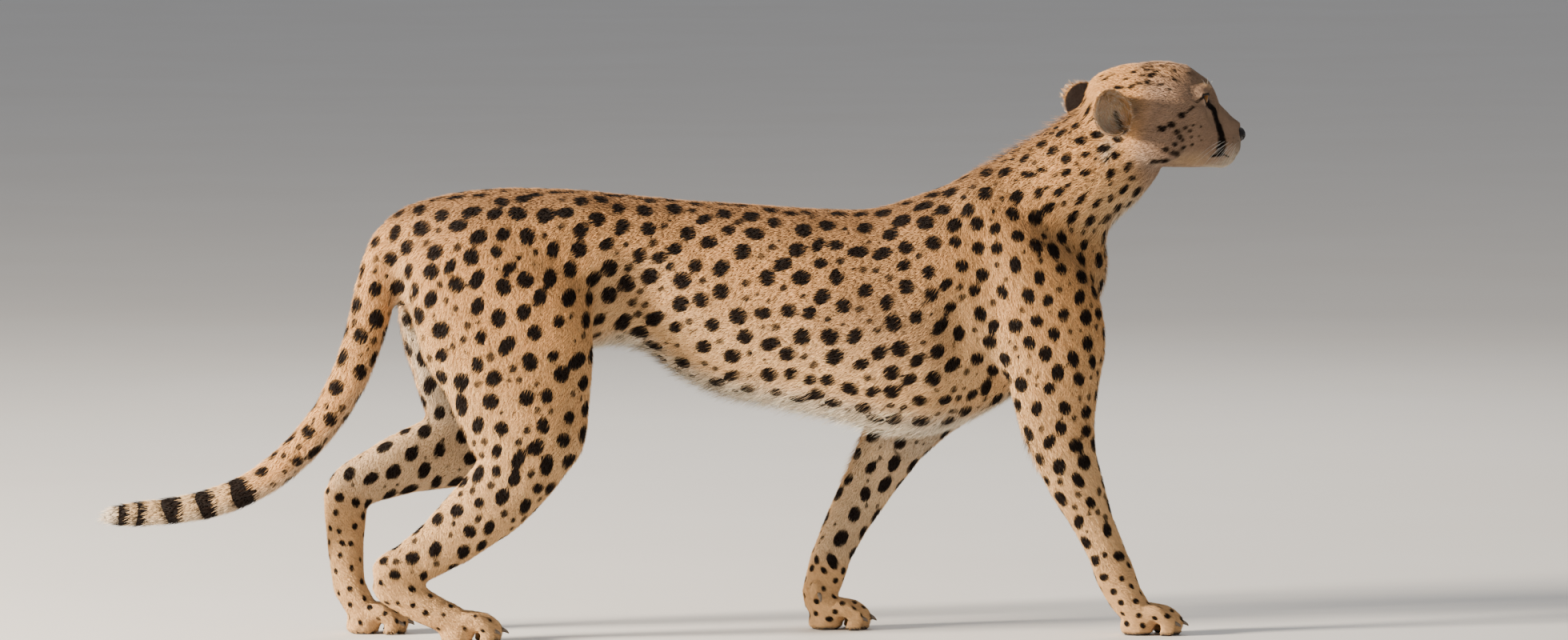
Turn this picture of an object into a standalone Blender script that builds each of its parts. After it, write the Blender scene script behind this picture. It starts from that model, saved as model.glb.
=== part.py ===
"""A walking cheetah at life size, parted into the pieces that a person would name.

Units are metres. X runs forward, Y to the animal's left and Z up. The body is laid out about its own
middle plane, Y = 0, with the floor at Z = 0, and is moved at the end so that the origin lies under the
middle of its bounding box.

The flesh is lofted from cross-sections, fused into one skin by a voxel remesh, pressed and creased where
muscles and sockets lie, eased and thinned out, and then parted with cuts GAP wide.
"""

import math

import bmesh
import bpy
import numpy as np
from mathutils import Euler, Matrix, Vector

# ---------------------------------------------------------------- driving dimensions

GAP = 0.0004                # between neighbouring pieces
VOXEL = 0.0028              # grain of the fused skin
TRUNK_TRIANGLES = 1750      # kept on the trunk, neck, limbs and tail
FINE_TRIANGLES = 1670       # kept on the head and the paws
RING = 32                   # points round a cross-section
STEPS = 6                   # rings between two named cross-sections

EYES_MIDDLE = Vector((0.584, 0.020, 0.765))   # midway between the two eyes
HEAD_TURN = math.radians(12)                  # to the animal's left
HEAD_DROOP = math.radians(10)                 # nose down
HEAD_TILT = math.radians(6)                   # right side down
EYE_RADIUS = 0.0154
EYE_AT = Vector((-0.0205, 0.037, 0.006))      # left eye, in the head's own frame
# Each ear: middle of the rim, in the head's own frame mirrored for the right ear; the left is folded
# further back.
EAR_AT = {"left": Vector((-0.145, 0.066, -0.041)), "right": Vector((-0.157, 0.071, -0.033))}
EAR_LENGTH = Vector((-0.86, 0.30, 0.36))      # from the left ear's root to its tip
EAR_FACING = Vector((0.42, 0.88, 0.10))       # the way its cup opens
EAR_SIZE = (0.036, 0.030, 0.023)              # half length, half width and depth of the cup
EAR_WALL = 0.004

COAT = (0.72, 0.50, 0.30, 1.0)
PALE_COAT = (0.83, 0.74, 0.63, 1.0)
DARK = (0.02, 0.017, 0.015, 1.0)
AMBER = (0.35, 0.16, 0.04, 1.0)
HORN = (0.16, 0.12, 0.09, 1.0)

# Trunk sections across X: x, height of the back, height of the belly, half width, and how far up the
# section is widest (0 at the belly, 1 at the back).
TRUNK = (
    (-0.585, 0.570, 0.500, 0.022, 0.50),
    (-0.560, 0.612, 0.455, 0.050, 0.50),
    (-0.510, 0.638, 0.420, 0.074, 0.52),
    (-0.430, 0.647, 0.405, 0.088, 0.55),
    (-0.330, 0.645, 0.408, 0.082, 0.55),
    (-0.240, 0.636, 0.415, 0.072, 0.52),
    (-0.175, 0.630, 0.372, 0.074, 0.50),
    (-0.110, 0.625, 0.342, 0.082, 0.48),
    (-0.030, 0.619, 0.325, 0.091, 0.47),
    (0.050, 0.614, 0.307, 0.097, 0.47),
    (0.110, 0.615, 0.290, 0.098, 0.48),
    (0.170, 0.634, 0.281, 0.096, 0.50),
    (0.230, 0.653, 0.296, 0.090, 0.50),
    (0.290, 0.668, 0.326, 0.082, 0.50),
    (0.350, 0.655, 0.372, 0.072, 0.50),
    (0.400, 0.615, 0.420, 0.058, 0.50),
    (0.430, 0.575, 0.465, 0.036, 0.50),
)

# The other tubes go along a limb: x, y, z of the middle, half depth in the limb's own plane, half width.
NECK = (
    (0.266, 0.000, 0.542, 0.118, 0.066),
    (0.312, 0.000, 0.574, 0.116, 0.066),
    (0.357, 0.001, 0.616, 0.101, 0.062),
    (0.399, 0.003, 0.653, 0.088, 0.058),
    (0.441, 0.006, 0.686, 0.083, 0.055),
    (0.480, 0.010, 0.722, 0.069, 0.052),
)
TAIL = (
    (-0.520, 0.000, 0.598, 0.040, 0.040),
    (-0.562, 0.000, 0.582, 0.037, 0.037),
    (-0.592, 0.000, 0.552, 0.033, 0.029),
    (-0.606, -0.002, 0.512, 0.032, 0.027),
    (-0.616, -0.004, 0.470, 0.032, 0.027),
    (-0.630, -0.006, 0.422, 0.030, 0.029),
    (-0.650, -0.006, 0.370, 0.029, 0.028),
    (-0.682, -0.004, 0.315, 0.027, 0.026),
    (-0.728, 0.000, 0.262, 0.026, 0.025),
    (-0.785, 0.006, 0.219, 0.024, 0.024),
    (-0.850, 0.014, 0.193, 0.023, 0.022),
    (-0.915, 0.022, 0.182, 0.021, 0.021),
    (-0.965, 0.028, 0.178, 0.019, 0.019),
    (-1.000, 0.032, 0.174, 0.012, 0.012),
)
NEAR_FORELEG = (
    (0.222, -0.030, 0.640, 0.022, 0.014),
    (0.246, -0.040, 0.612, 0.040, 0.024),
    (0.278, -0.050, 0.572, 0.058, 0.032),
    (0.312, -0.060, 0.526, 0.074, 0.037),
    (0.339, -0.069, 0.474, 0.086, 0.040),
    (0.354, -0.075, 0.420, 0.083, 0.041),
    (0.358, -0.078, 0.362, 0.068, 0.039),
    (0.363, -0.078, 0.305, 0.057, 0.035),
    (0.376, -0.077, 0.255, 0.046, 0.032),
    (0.394, -0.074, 0.210, 0.040, 0.029),
    (0.414, -0.071, 0.165, 0.032, 0.026),
    (0.434, -0.068, 0.122, 0.029, 0.025),
    (0.448, -0.066, 0.086, 0.029, 0.027),
    (0.462, -0.065, 0.056, 0.026, 0.028),
    (0.478, -0.065, 0.034, 0.022, 0.030),
)
FAR_FORELEG = (
    (0.222, 0.030, 0.640, 0.022, 0.014),
    (0.246, 0.040, 0.612, 0.040, 0.024),
    (0.276, 0.050, 0.572, 0.058, 0.032),
    (0.300, 0.060, 0.520, 0.076, 0.037),
    (0.296, 0.068, 0.464, 0.086, 0.040),
    (0.266, 0.073, 0.412, 0.084, 0.041),
    (0.226, 0.075, 0.366, 0.074, 0.039),
    (0.184, 0.075, 0.322, 0.062, 0.036),
    (0.150, 0.074, 0.280, 0.052, 0.034),
    (0.124, 0.073, 0.238, 0.044, 0.031),
    (0.099, 0.071, 0.195, 0.038, 0.028),
    (0.073, 0.069, 0.150, 0.033, 0.026),
    (0.055, 0.067, 0.112, 0.030, 0.026),
    (0.043, 0.066, 0.078, 0.028, 0.027),
    (0.036, 0.065, 0.050, 0.026, 0.028),
    (0.040, 0.065, 0.032, 0.022, 0.030),
)
NEAR_THIGH = (
    (-0.446, -0.040, 0.604, 0.048, 0.018),
    (-0.447, -0.049, 0.588, 0.078, 0.027),
    (-0.447, -0.058, 0.556, 0.106, 0.035),
    (-0.446, -0.068, 0.508, 0.124, 0.042),
    (-0.430, -0.076, 0.450, 0.130, 0.047),
    (-0.416, -0.082, 0.400, 0.119, 0.049),
    (-0.408, -0.086, 0.350, 0.103, 0.048),
    (-0.402, -0.088, 0.300, 0.091, 0.045),
    (-0.404, -0.089, 0.262, 0.078, 0.040),
)
NEAR_SHANK = (
    (-0.362, -0.089, 0.310, 0.056, 0.034),
    (-0.398, -0.089, 0.262, 0.058, 0.038),
    (-0.440, -0.088, 0.212, 0.055, 0.036),
    (-0.478, -0.086, 0.178, 0.050, 0.032),
    (-0.520, -0.083, 0.143, 0.042, 0.027),
    (-0.566, -0.080, 0.114, 0.034, 0.023),
    (-0.600, -0.078, 0.100, 0.029, 0.022),
    (-0.618, -0.077, 0.094, 0.018, 0.018),
)
NEAR_PASTERN = (
    (-0.612, -0.077, 0.096, 0.024, 0.021),
    (-0.590, -0.077, 0.080, 0.029, 0.023),
    (-0.560, -0.077, 0.059, 0.027, 0.024),
    (-0.528, -0.077, 0.042, 0.024, 0.026),
    (-0.500, -0.077, 0.031, 0.021, 0.029),
)
FAR_THIGH = (
    (-0.463, 0.040, 0.604, 0.048, 0.018),
    (-0.463, 0.049, 0.588, 0.078, 0.027),
    (-0.464, 0.058, 0.556, 0.104, 0.035),
    (-0.462, 0.068, 0.508, 0.114, 0.042),
    (-0.456, 0.076, 0.450, 0.118, 0.047),
    (-0.450, 0.081, 0.400, 0.110, 0.048),
    (-0.446, 0.084, 0.350, 0.098, 0.047),
    (-0.442, 0.086, 0.305, 0.084, 0.044),
    (-0.446, 0.086, 0.270, 0.070, 0.038),
)
FAR_SHANK = (
    (-0.408, 0.086, 0.292, 0.054, 0.034),
    (-0.458, 0.086, 0.272, 0.058, 0.037),
    (-0.510, 0.085, 0.259, 0.055, 0.035),
    (-0.555, 0.083, 0.247, 0.048, 0.031),
    (-0.600, 0.080, 0.230, 0.041, 0.026),
    (-0.640, 0.077, 0.214, 0.034, 0.023),
    (-0.668, 0.075, 0.206, 0.022, 0.019),
)
FAR_PASTERN = (
    (-0.662, 0.075, 0.216, 0.022, 0.020),
    (-0.650, 0.075, 0.185, 0.032, 0.024),
    (-0.649, 0.074, 0.145, 0.029, 0.023),
    (-0.648, 0.073, 0.105, 0.026, 0.023),
    (-0.643, 0.072, 0.068, 0.024, 0.025),
    (-0.628, 0.072, 0.038, 0.022, 0.029),
)

# The head in its own frame: X towards the nose, Y left, Z up, and the eyes' middle at 0.
# The rows are like TRUNK's.
SKULL = (
    (-0.171, 0.003, -0.060, 0.030, 0.50),
    (-0.151, 0.018, -0.086, 0.046, 0.50),
    (-0.123, 0.032, -0.103, 0.056, 0.50),
    (-0.091, 0.041, -0.109, 0.062, 0.50),
    (-0.061, 0.0465, -0.108, 0.064, 0.50),
    (-0.034, 0.0455, -0.105, 0.060, 0.50),
    (-0.014, 0.0380, -0.102, 0.053, 0.48),
    (0.000, 0.0310, -0.100, 0.046, 0.45),
    (0.012, 0.0205, -0.098, 0.040, 0.42),
    (0.022, 0.0040, -0.0965, 0.034, 0.40),
    (0.034, -0.0070, -0.095, 0.0300, 0.40),
    (0.046, -0.0155, -0.0930, 0.0285, 0.42),
    (0.058, -0.0235, -0.089, 0.0255, 0.45),
    (0.065, -0.0295, -0.078, 0.0195, 0.48),
    (0.070, -0.0365, -0.063, 0.0110, 0.50),
)
# Masses on the head: middle, radii. Those with a Y other than 0 are there on both sides.
HEAD_MASSES = (
    ((-0.080, 0.0, 0.002), (0.066, 0.050, 0.036)),          # braincase
    ((-0.040, 0.041, -0.016), (0.040, 0.020, 0.022)),       # cheek bone
    ((-0.074, 0.040, -0.066), (0.050, 0.026, 0.036)),       # jaw muscle
    ((-0.016, 0.027, 0.012), (0.020, 0.018, 0.014)),        # brow
    ((0.046, 0.0160, -0.058), (0.021, 0.0185, 0.0205)),     # whisker pad
    ((0.044, 0.0, -0.080), (0.020, 0.020, 0.0140)),         # chin
    ((0.028, 0.0, -0.017), (0.020, 0.0140, 0.010)),         # root of the nose
    ((0.046, 0.0, -0.033), (0.024, 0.0165, 0.015)),         # tip of the nose
)
# Hollows and rises: middle, reach, height along the surface's normal. The head's are in its own frame.
HEAD_PRESSES = (
    ((0.001, 0.037, 0.001), (0.019, 0.015, 0.014), -0.0050),    # inner corner of the eye
    ((0.018, 0.036, -0.026), (0.024, 0.020, 0.020), -0.0030),   # hollow below the eye
    ((-0.050, 0.052, 0.022), (0.034, 0.025, 0.020), -0.0030),   # temple
    ((0.008, 0.0, 0.030), (0.022, 0.010, 0.016), -0.0012),      # groove between the brows
)
BODY_PRESSES = (
    ((-0.235, 0.080, 0.500), (0.085, 0.060, 0.085), -0.010),    # flank hollow
    ((0.215, -0.105, 0.420), (0.040, 0.045, 0.120), -0.009),    # behind the near shoulder
    ((0.110, 0.105, 0.400), (0.040, 0.045, 0.110), -0.007),     # behind the far shoulder
    ((0.262, 0.040, 0.655), (0.050, 0.035, 0.035), 0.006),      # top of the shoulder blade
    ((-0.318, 0.050, 0.622), (0.055, 0.040, 0.040), 0.005),     # hip bone
    ((-0.560, 0.040, 0.545), (0.045, 0.035, 0.050), 0.006),     # seat bone
    ((0.300, 0.090, 0.560), (0.055, 0.040, 0.075), 0.005),      # shoulder blade's muscles
    ((0.395, 0.060, 0.470), (0.045, 0.050, 0.060), 0.006),      # point of the shoulder
)
BODY_MASSES = (
    ((0.371, 0.0, 0.532), (0.077, 0.056, 0.092), 0),            # breast
    ((-0.548, 0.0, 0.450), (0.021, 0.021, 0.022), 0),           # scrotum
)

# Paws: place of the heel pad on the floor, heading in degrees, and whether it is a forepaw.
PAWS = {
    "foreleg_right": (Vector((0.482, -0.065, 0.0)), 2, True),
    "foreleg_left": (Vector((0.046, 0.065, 0.0)), -2, True),
    "hindleg_right": (Vector((-0.498, -0.077, 0.0)), 3, False),
    "hindleg_left": (Vector((-0.622, 0.072, 0.0)), -3, False),
}
TOES = ((-0.0245, 0.046), (-0.0085, 0.060), (0.0085, 0.060), (0.0245, 0.046))   # sideways, forward

# Where each upper leg parts from the trunk: an outline across X and Z that runs out sideways from
# LEG_CORE on either side of the middle plane.
LEG_CORE = 0.030
LEG_OUTLINES = {
    "foreleg_right": ((0.205, 0.360), (0.200, 0.480), (0.208, 0.580), (0.240, 0.628), (0.290, 0.630),
                      (0.370, 0.588), (0.425, 0.545), (0.470, 0.480), (0.480, 0.340), (0.640, 0.100),
                      (0.640, -0.100), (0.320, -0.100), (0.320, 0.160), (0.250, 0.285)),
    "foreleg_left": ((0.060, 0.360), (0.130, 0.450), (0.190, 0.560), (0.235, 0.628), (0.290, 0.630),
                     (0.370, 0.588), (0.425, 0.545), (0.460, 0.480), (0.400, 0.380), (0.300, 0.280),
                     (0.240, 0.150), (0.240, -0.100), (-0.100, -0.100), (-0.100, 0.180), (0.020, 0.285)),
    "hindleg_right": ((-0.588, 0.400), (-0.585, 0.500), (-0.553, 0.553), (-0.490, 0.592), (-0.420, 0.607),
                      (-0.345, 0.587), (-0.290, 0.525), (-0.275, 0.450), (-0.262, 0.360), (-0.262, 0.200),
                      (-0.400, -0.100), (-0.680, -0.100), (-0.680, 0.160), (-0.588, 0.240)),
    "hindleg_left": ((-0.588, 0.400), (-0.585, 0.500), (-0.553, 0.553), (-0.500, 0.592), (-0.435, 0.607),
                     (-0.360, 0.587), (-0.305, 0.525), (-0.290, 0.450), (-0.280, 0.360), (-0.300, 0.100),
                     (-0.480, -0.100), (-0.760, -0.100), (-0.760, 0.300), (-0.640, 0.330)),
}
# The tail parts from the rump along this outline across X and Z.
TAIL_OUTLINE = ((-0.605, 0.660), (-0.592, 0.560), (-0.580, 0.505), (-0.576, 0.487), (-0.579, 0.470),
                (-0.582, 0.440), (-0.598, 0.380), (-0.640, 0.310), (-0.700, 0.220), (-0.700, 0.050),
                (-1.200, 0.050), (-1.200, 0.660))
# Cuts across the trunk and tail, front to back: the piece before the cut, a point, the way on and the
# plate's half size. The last name is that of the piece beyond the last cut.
TRUNK_CUTS = (
    ("head", (0.452, 0.008, 0.713), (-0.856, 0.0, -0.517), 0.150),
    ("neck", (0.357, 0.0, 0.606), (-0.580, 0.0, -0.810), 0.170),
    ("chest", (0.030, 0.0, 0.460), (-1, 0, 0), 0.300),
    ("loin", (-0.250, 0.0, 0.520), (-1, 0, 0), 0.200),
    "rump",
)
TAIL_CUTS = (
    ("tail_1", (-0.642, -0.006, 0.392), (-0.36, 0, -0.93), 0.045),
    ("tail_2", (-0.752, 0.002, 0.242), (-0.80, 0.08, -0.60), 0.045),
    ("tail_3", (-0.882, 0.018, 0.187), (-0.98, 0.12, -0.15), 0.045),
    "tail_4",
)
# Cuts across each leg, from the top down.
LEG_CUTS = {
    "foreleg_right": (("upper", (0.371, -0.078, 0.272), (0.25, 0, -0.97), 0.080),
                      ("forearm", (0.444, -0.066, 0.098), (0.38, 0, -0.92), 0.050), "paw"),
    "foreleg_left": (("upper", (0.138, 0.073, 0.262), (-0.48, 0, -0.88), 0.080),
                     ("forearm", (0.049, 0.066, 0.098), (-0.30, 0, -0.95), 0.050), "paw"),
    "hindleg_right": (("thigh", (-0.415, -0.089, 0.252), (-0.43, 0, -0.90), 0.140),
                      ("shank", (-0.585, -0.079, 0.098), (-0.40, 0, -0.92), 0.055), "foot"),
    "hindleg_left": (("thigh", (-0.470, 0.086, 0.285), (-0.62, 0, -0.78), 0.140),
                     ("shank", (-0.650, 0.075, 0.205), (-0.45, 0, -0.89), 0.055), "foot"),
}


# ---------------------------------------------------------------- small helpers

def clear_scene():
    for old in list(bpy.data.objects):
        bpy.data.objects.remove(old)


def material(name, colour, roughness):
    made = bpy.data.materials.new(name)
    made.use_nodes = True
    shader = made.node_tree.nodes["Principled BSDF"]
    shader.inputs["Base Color"].default_value = colour
    shader.inputs["Roughness"].default_value = roughness
    shader.inputs["Metallic"].default_value = 0.0
    return made


def object_of(mesh, name):
    made = bpy.data.objects.new(name, mesh)
    bpy.context.scene.collection.objects.link(made)
    return made


def applied(obj):
    """Replaces the object's mesh with the one its modifiers make."""
    bpy.context.view_layer.update()
    graph = bpy.context.evaluated_depsgraph_get()
    mesh = bpy.data.meshes.new_from_object(obj.evaluated_get(graph))
    obj.modifiers.clear()
    obj.data = mesh
    return obj


def mirrored(middle):
    """The point itself and, unless it lies on the middle plane, its mirror image."""
    x, y, z = middle
    return [(x, y, z)] if y == 0 else [(x, y, z), (x, -y, z)]


def eased_rows(rows):
    """Rows at STEPS even steps between the named ones, on a Catmull-Rom curve through them."""
    named = np.array(rows, float)
    padded = np.vstack([2 * named[0] - named[1], named, 2 * named[-1] - named[-2]])
    made = []
    for i in range(1, len(padded) - 2):
        before, start, end, after = padded[i - 1:i + 3]
        for t in np.arange(STEPS) / STEPS:
            made.append(0.5 * (2 * start + (end - before) * t
                               + (2 * before - 5 * start + 4 * end - after) * t ** 2
                               + (3 * start - before - 3 * end + after) * t ** 3))
    made.append(named[-1])
    return np.array(made)


# ---------------------------------------------------------------- lofts

def add_rings(bm, rings):
    """A closed tube through rings of points, its ends drawn in to a point."""
    loops = [[bm.verts.new(p) for p in ring] for ring in rings]
    for near, far in zip(loops, loops[1:]):
        for i in range(RING):
            j = (i + 1) % RING
            bm.faces.new((near[i], near[j], far[j], far[i]))
    for loop in (loops[0], loops[-1]):
        tip = bm.verts.new(sum((v.co for v in loop), Vector()) / RING)
        for i in range(RING):
            bm.faces.new((loop[i], loop[(i + 1) % RING], tip))


def add_barrel(bm, rows, place=Matrix()):
    """A loft of upright egg-shaped sections across X, as TRUNK describes them."""
    rings = []
    for x, top, bottom, width, level in eased_rows(rows):
        widest = bottom + (top - bottom) * level
        ring = []
        for i in range(RING):
            angle = 2 * math.pi * i / RING
            rise = (top - widest) if math.sin(angle) > 0 else (widest - bottom)
            point = Vector((x, width * math.cos(angle), widest + rise * math.sin(angle)))
            ring.append(place @ point)
        rings.append(ring)
    add_rings(bm, rings)


def add_tube(bm, rows, place=Matrix()):
    """A loft of ellipses square to the path that the rows' middles follow."""
    rows = eased_rows(rows)
    middles = rows[:, :3]
    along = np.gradient(middles, axis=0)
    rings = []
    for row, direction in zip(rows, along):
        forward = Vector(direction).normalized()
        side = (Vector((0, 1, 0)) - forward * forward.y).normalized()
        front = side.cross(forward)
        middle = Vector(row[:3])
        ring = []
        for i in range(RING):
            angle = 2 * math.pi * i / RING
            point = middle + front * (row[3] * math.sin(angle)) + side * (row[4] * math.cos(angle))
            ring.append(place @ point)
        rings.append(ring)
    add_rings(bm, rings)


def add_ball(bm, middle, radii, place=Matrix(), turn=0.0):
    """An ellipsoid, turned about Y by so many degrees."""
    matrix = (place @ Matrix.Translation(middle) @ Matrix.Rotation(math.radians(turn), 4, "Y")
              @ Matrix.Diagonal((*radii, 1)))
    bmesh.ops.create_icosphere(bm, subdivisions=4, radius=1, matrix=matrix)


# ---------------------------------------------------------------- the head's own frame

def head_place():
    turn = Euler((HEAD_TILT, HEAD_DROOP, HEAD_TURN), "XYZ").to_matrix().to_4x4()
    return Matrix.Translation(EYES_MIDDLE) @ turn


def add_head(bm):
    place = head_place()
    add_barrel(bm, SKULL, place)
    for middle, radii in HEAD_MASSES:
        for point in mirrored(middle):
            add_ball(bm, point, radii, place)


def ear(side, name, grown=0.0):
    """A cup on the side of the head, its wall EAR_WALL thick, its deep end sunk in the head."""
    flip = Vector((1, side, 1))
    place = head_place()
    middle = place @ (EAR_AT["left" if side > 0 else "right"] * flip)
    along = (place.to_3x3() @ (EAR_LENGTH * flip)).normalized()
    facing = place.to_3x3() @ (EAR_FACING * flip)
    facing = (facing - along * facing.dot(along)).normalized()
    across = along.cross(facing)
    length, width, depth = EAR_SIZE
    sides, rings = 16, 4
    mesh = bpy.data.meshes.new(name)
    bm = bmesh.new()
    walls = []
    for offset in (-grown, EAR_WALL + grown):
        loops = []
        for k in range(rings):
            share = math.cos(0.5 * math.pi * k / rings)
            size = share + (offset - grown if k == 0 else offset) / length
            sunk = (1 - share ** 2) ** 0.5
            loop = []
            for i in range(sides):
                angle = 2 * math.pi * i / sides
                out = along * (length * size * math.cos(angle))
                out += across * (width * size * math.sin(angle))
                back = along * (-0.62 * length * sunk) - facing * (depth * sunk + offset * sunk)
                curl = facing * (0.005 * math.cos(angle) ** 2)
                loop.append(bm.verts.new(middle + out + back + curl + facing * (grown if k == 0 else 0)))
            loops.append(loop)
        pole = middle - along * (0.62 * length) - facing * (depth + offset)
        walls.append((loops, bm.verts.new(pole)))
    for loops, pole in walls:
        for near_loop, far_loop in zip(loops, loops[1:]):
            for i in range(sides):
                j = (i + 1) % sides
                bm.faces.new((near_loop[i], near_loop[j], far_loop[j], far_loop[i]))
        for i in range(sides):
            bm.faces.new((loops[-1][i], loops[-1][(i + 1) % sides], pole))
    for i in range(sides):
        j = (i + 1) % sides
        bm.faces.new((walls[0][0][0][i], walls[0][0][0][j], walls[1][0][0][j], walls[1][0][0][i]))
    bmesh.ops.recalc_face_normals(bm, faces=bm.faces)
    bm.to_mesh(mesh)
    bm.free()
    return object_of(mesh, name)


def ball(middle, radii, name, place=Matrix(), fineness=3):
    """An ellipsoid as an object of its own."""
    mesh = bpy.data.meshes.new(name)
    bm = bmesh.new()
    matrix = place @ Matrix.Translation(middle) @ Matrix.Diagonal((*radii, 1))
    bmesh.ops.create_icosphere(bm, subdivisions=fineness, radius=1, matrix=matrix)
    bm.to_mesh(mesh)
    bm.free()
    return object_of(mesh, name)


def eye(side, name, grown=0.0):
    radius = EYE_RADIUS + grown
    return ball(EYE_AT * Vector((1, side, 1)), (radius, radius, radius), name, head_place(), 2)


def nose(name, grown=0.0):
    """The leather at the tip of the muzzle."""
    radii = [radius + grown for radius in (0.011, 0.0150, 0.0105)]
    return ball((0.0640, 0.0, -0.0395), radii, name, head_place(), 2)


# ---------------------------------------------------------------- paws and claws

def paw_place(name):
    heel, heading, _ = PAWS[name]
    return Matrix.Translation(heel) @ Matrix.Rotation(math.radians(heading), 4, "Z")


def add_paw(bm, name):
    """Four toes that arch over to their pads, and the pad behind them."""
    place = paw_place(name)
    add_ball(bm, (-0.002, 0, 0.012), (0.026, 0.028, 0.016), place)
    add_ball(bm, (0.004, 0, 0.026), (0.030, 0.030, 0.018), place)
    for side, reach in TOES:
        add_tube(bm, (
            (-0.010, side * 0.70, 0.030, 0.010, 0.009),
            (0.012, side * 0.90, 0.034, 0.012, 0.0105),
            (reach - 0.022, side * 1.06, 0.031, 0.012, 0.0105),
            (reach - 0.006, side * 1.10, 0.020, 0.011, 0.0100),
            (reach + 0.002, side * 1.10, 0.011, 0.006, 0.0070),
        ), place)
        add_ball(bm, (reach - 0.010, side * 1.10, 0.006), (0.012, 0.0085, 0.010), place)
    if PAWS[name][2]:
        inner = -1 if name.endswith("left") else 1
        add_ball(bm, (-0.020, inner * 0.030, 0.060), (0.010, 0.008, 0.014), place)


def claw_points(name):
    """Root and direction of each claw on a paw, in the body's frame."""
    place = paw_place(name)
    made = []
    for side, reach in TOES:
        root = place @ Vector((reach + 0.0005, side * 1.10, 0.0185))
        made.append((root, place.to_3x3() @ Vector((1, 0, -0.10))))
    if PAWS[name][2]:
        inner = -1 if name.endswith("left") else 1
        root = place @ Vector((-0.014, inner * 0.036, 0.054))
        made.append((root, place.to_3x3() @ Vector((0.55, 0, -0.85))))
    return made


def claw(root, direction, name, grown=0.0):
    """A blunt curved claw: rings that shrink along an arc bent downwards."""
    length, radius, bend, rings, sides = 0.015, 0.0032, math.radians(50), 3, 5
    forward = direction.normalized()
    side = Vector((0, 0, 1)).cross(forward).normalized()
    up = forward.cross(side)
    mesh = bpy.data.meshes.new(name)
    bm = bmesh.new()
    loops = []
    for k in range(rings):
        share = k / rings
        angle = bend * share
        along = length * math.sin(angle) / bend
        below = length * (1 - math.cos(angle)) / bend
        middle = root + forward * along - up * below
        lift = up * math.cos(angle) + forward * math.sin(angle)
        size = radius * (1 - share) ** 0.7 + grown
        loop = []
        for i in range(sides):
            a = 2 * math.pi * i / sides
            spoke = lift * (1.25 * size * math.sin(a)) + side * (0.8 * size * math.cos(a))
            loop.append(bm.verts.new(middle + spoke))
        loops.append(loop)
    along = (length + grown) * math.sin(bend) / bend
    below = length * (1 - math.cos(bend)) / bend
    end = root + forward * along - up * below
    back = bm.verts.new(root - forward * (0.004 + grown))
    tip = bm.verts.new(end)
    for near, far in zip(loops, loops[1:]):
        for i in range(sides):
            bm.faces.new((near[i], near[(i + 1) % sides], far[(i + 1) % sides], far[i]))
    for i in range(sides):
        bm.faces.new((loops[0][(i + 1) % sides], loops[0][i], back))
        bm.faces.new((loops[-1][i], loops[-1][(i + 1) % sides], tip))
    bmesh.ops.recalc_face_normals(bm, faces=bm.faces)
    bm.to_mesh(mesh)
    bm.free()
    return object_of(mesh, name)


# ---------------------------------------------------------------- the fused skin

def fused_body():
    """Every loft and mass in one mesh, fused by a voxel remesh."""
    bm = bmesh.new()
    add_barrel(bm, TRUNK)
    for rows in (NECK, TAIL, NEAR_FORELEG, FAR_FORELEG, NEAR_THIGH, NEAR_SHANK, NEAR_PASTERN,
                 FAR_THIGH, FAR_SHANK, FAR_PASTERN):
        add_tube(bm, rows)
    for middle, radii, turn in BODY_MASSES:
        for point in mirrored(middle):
            add_ball(bm, point, radii, turn=turn)
    add_head(bm)
    for name in PAWS:
        add_paw(bm, name)
    bmesh.ops.recalc_face_normals(bm, faces=bm.faces)
    mesh = bpy.data.meshes.new("body")
    bm.to_mesh(mesh)
    bm.free()
    body = object_of(mesh, "body")
    remesh = body.modifiers.new("fuse", "REMESH")
    remesh.mode = "VOXEL"
    remesh.voxel_size = VOXEL
    return applied(body)


def points_of(mesh):
    flat = np.zeros(len(mesh.vertices) * 3, np.float32)
    mesh.vertices.foreach_get("co", flat)
    return flat.reshape(-1, 3).astype(float)


def normals_of(mesh):
    flat = np.zeros(len(mesh.vertices) * 3, np.float32)
    mesh.vertex_normals.foreach_get("vector", flat)
    return flat.reshape(-1, 3).astype(float)


def press(mesh, middle, reach, height, place=Matrix()):
    """Moves the surface near a point along its normals, most at the point and fading out at its reach."""
    points, normals = points_of(mesh), normals_of(mesh)
    inverse = np.array(place.inverted())
    local = points @ inverse[:3, :3].T + inverse[:3, 3]
    distance = np.linalg.norm((local - np.array(middle)) / np.array(reach), axis=1)
    share = np.clip(1 - distance, 0, 1)
    share = share * share * (3 - 2 * share)
    points += normals * (height * share)[:, None]
    mesh.vertices.foreach_set("co", points.astype(np.float32).ravel())
    mesh.update()


def weigh(obj, name, weights):
    """A vertex group with one weight a vertex, in twenty even grades."""
    group = obj.vertex_groups.new(name=name)
    grades = np.round(np.clip(weights, 0, 1) * 20).astype(int)
    for grade in range(1, 21):
        group.add(np.nonzero(grades == grade)[0].tolist(), grade / 20, "REPLACE")
    return name


def near(points, middle, radius):
    """1 at a point, fading to 0 at the radius."""
    share = np.clip(1.5 - 1.5 * np.linalg.norm(points - np.array(middle), axis=1) / radius, 0, 1)
    return share * share * (3 - 2 * share)


def ramp(values, start, end):
    """0 up to the start and 1 from the end on, eased between."""
    share = np.clip((values - start) / (end - start), 0, 1)
    return share * share * (3 - 2 * share)


def fine_places(points):
    """1 on the head and the paws, where small shapes stay, and 0 on the rest."""
    fine = near(points, head_place() @ Vector((-0.020, 0, -0.030)), 0.190)
    for name, (heel, _, _) in PAWS.items():
        fine = np.maximum(fine, near(points, heel + Vector((0.020, 0, 0.010)), 0.095))
    return fine


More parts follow.
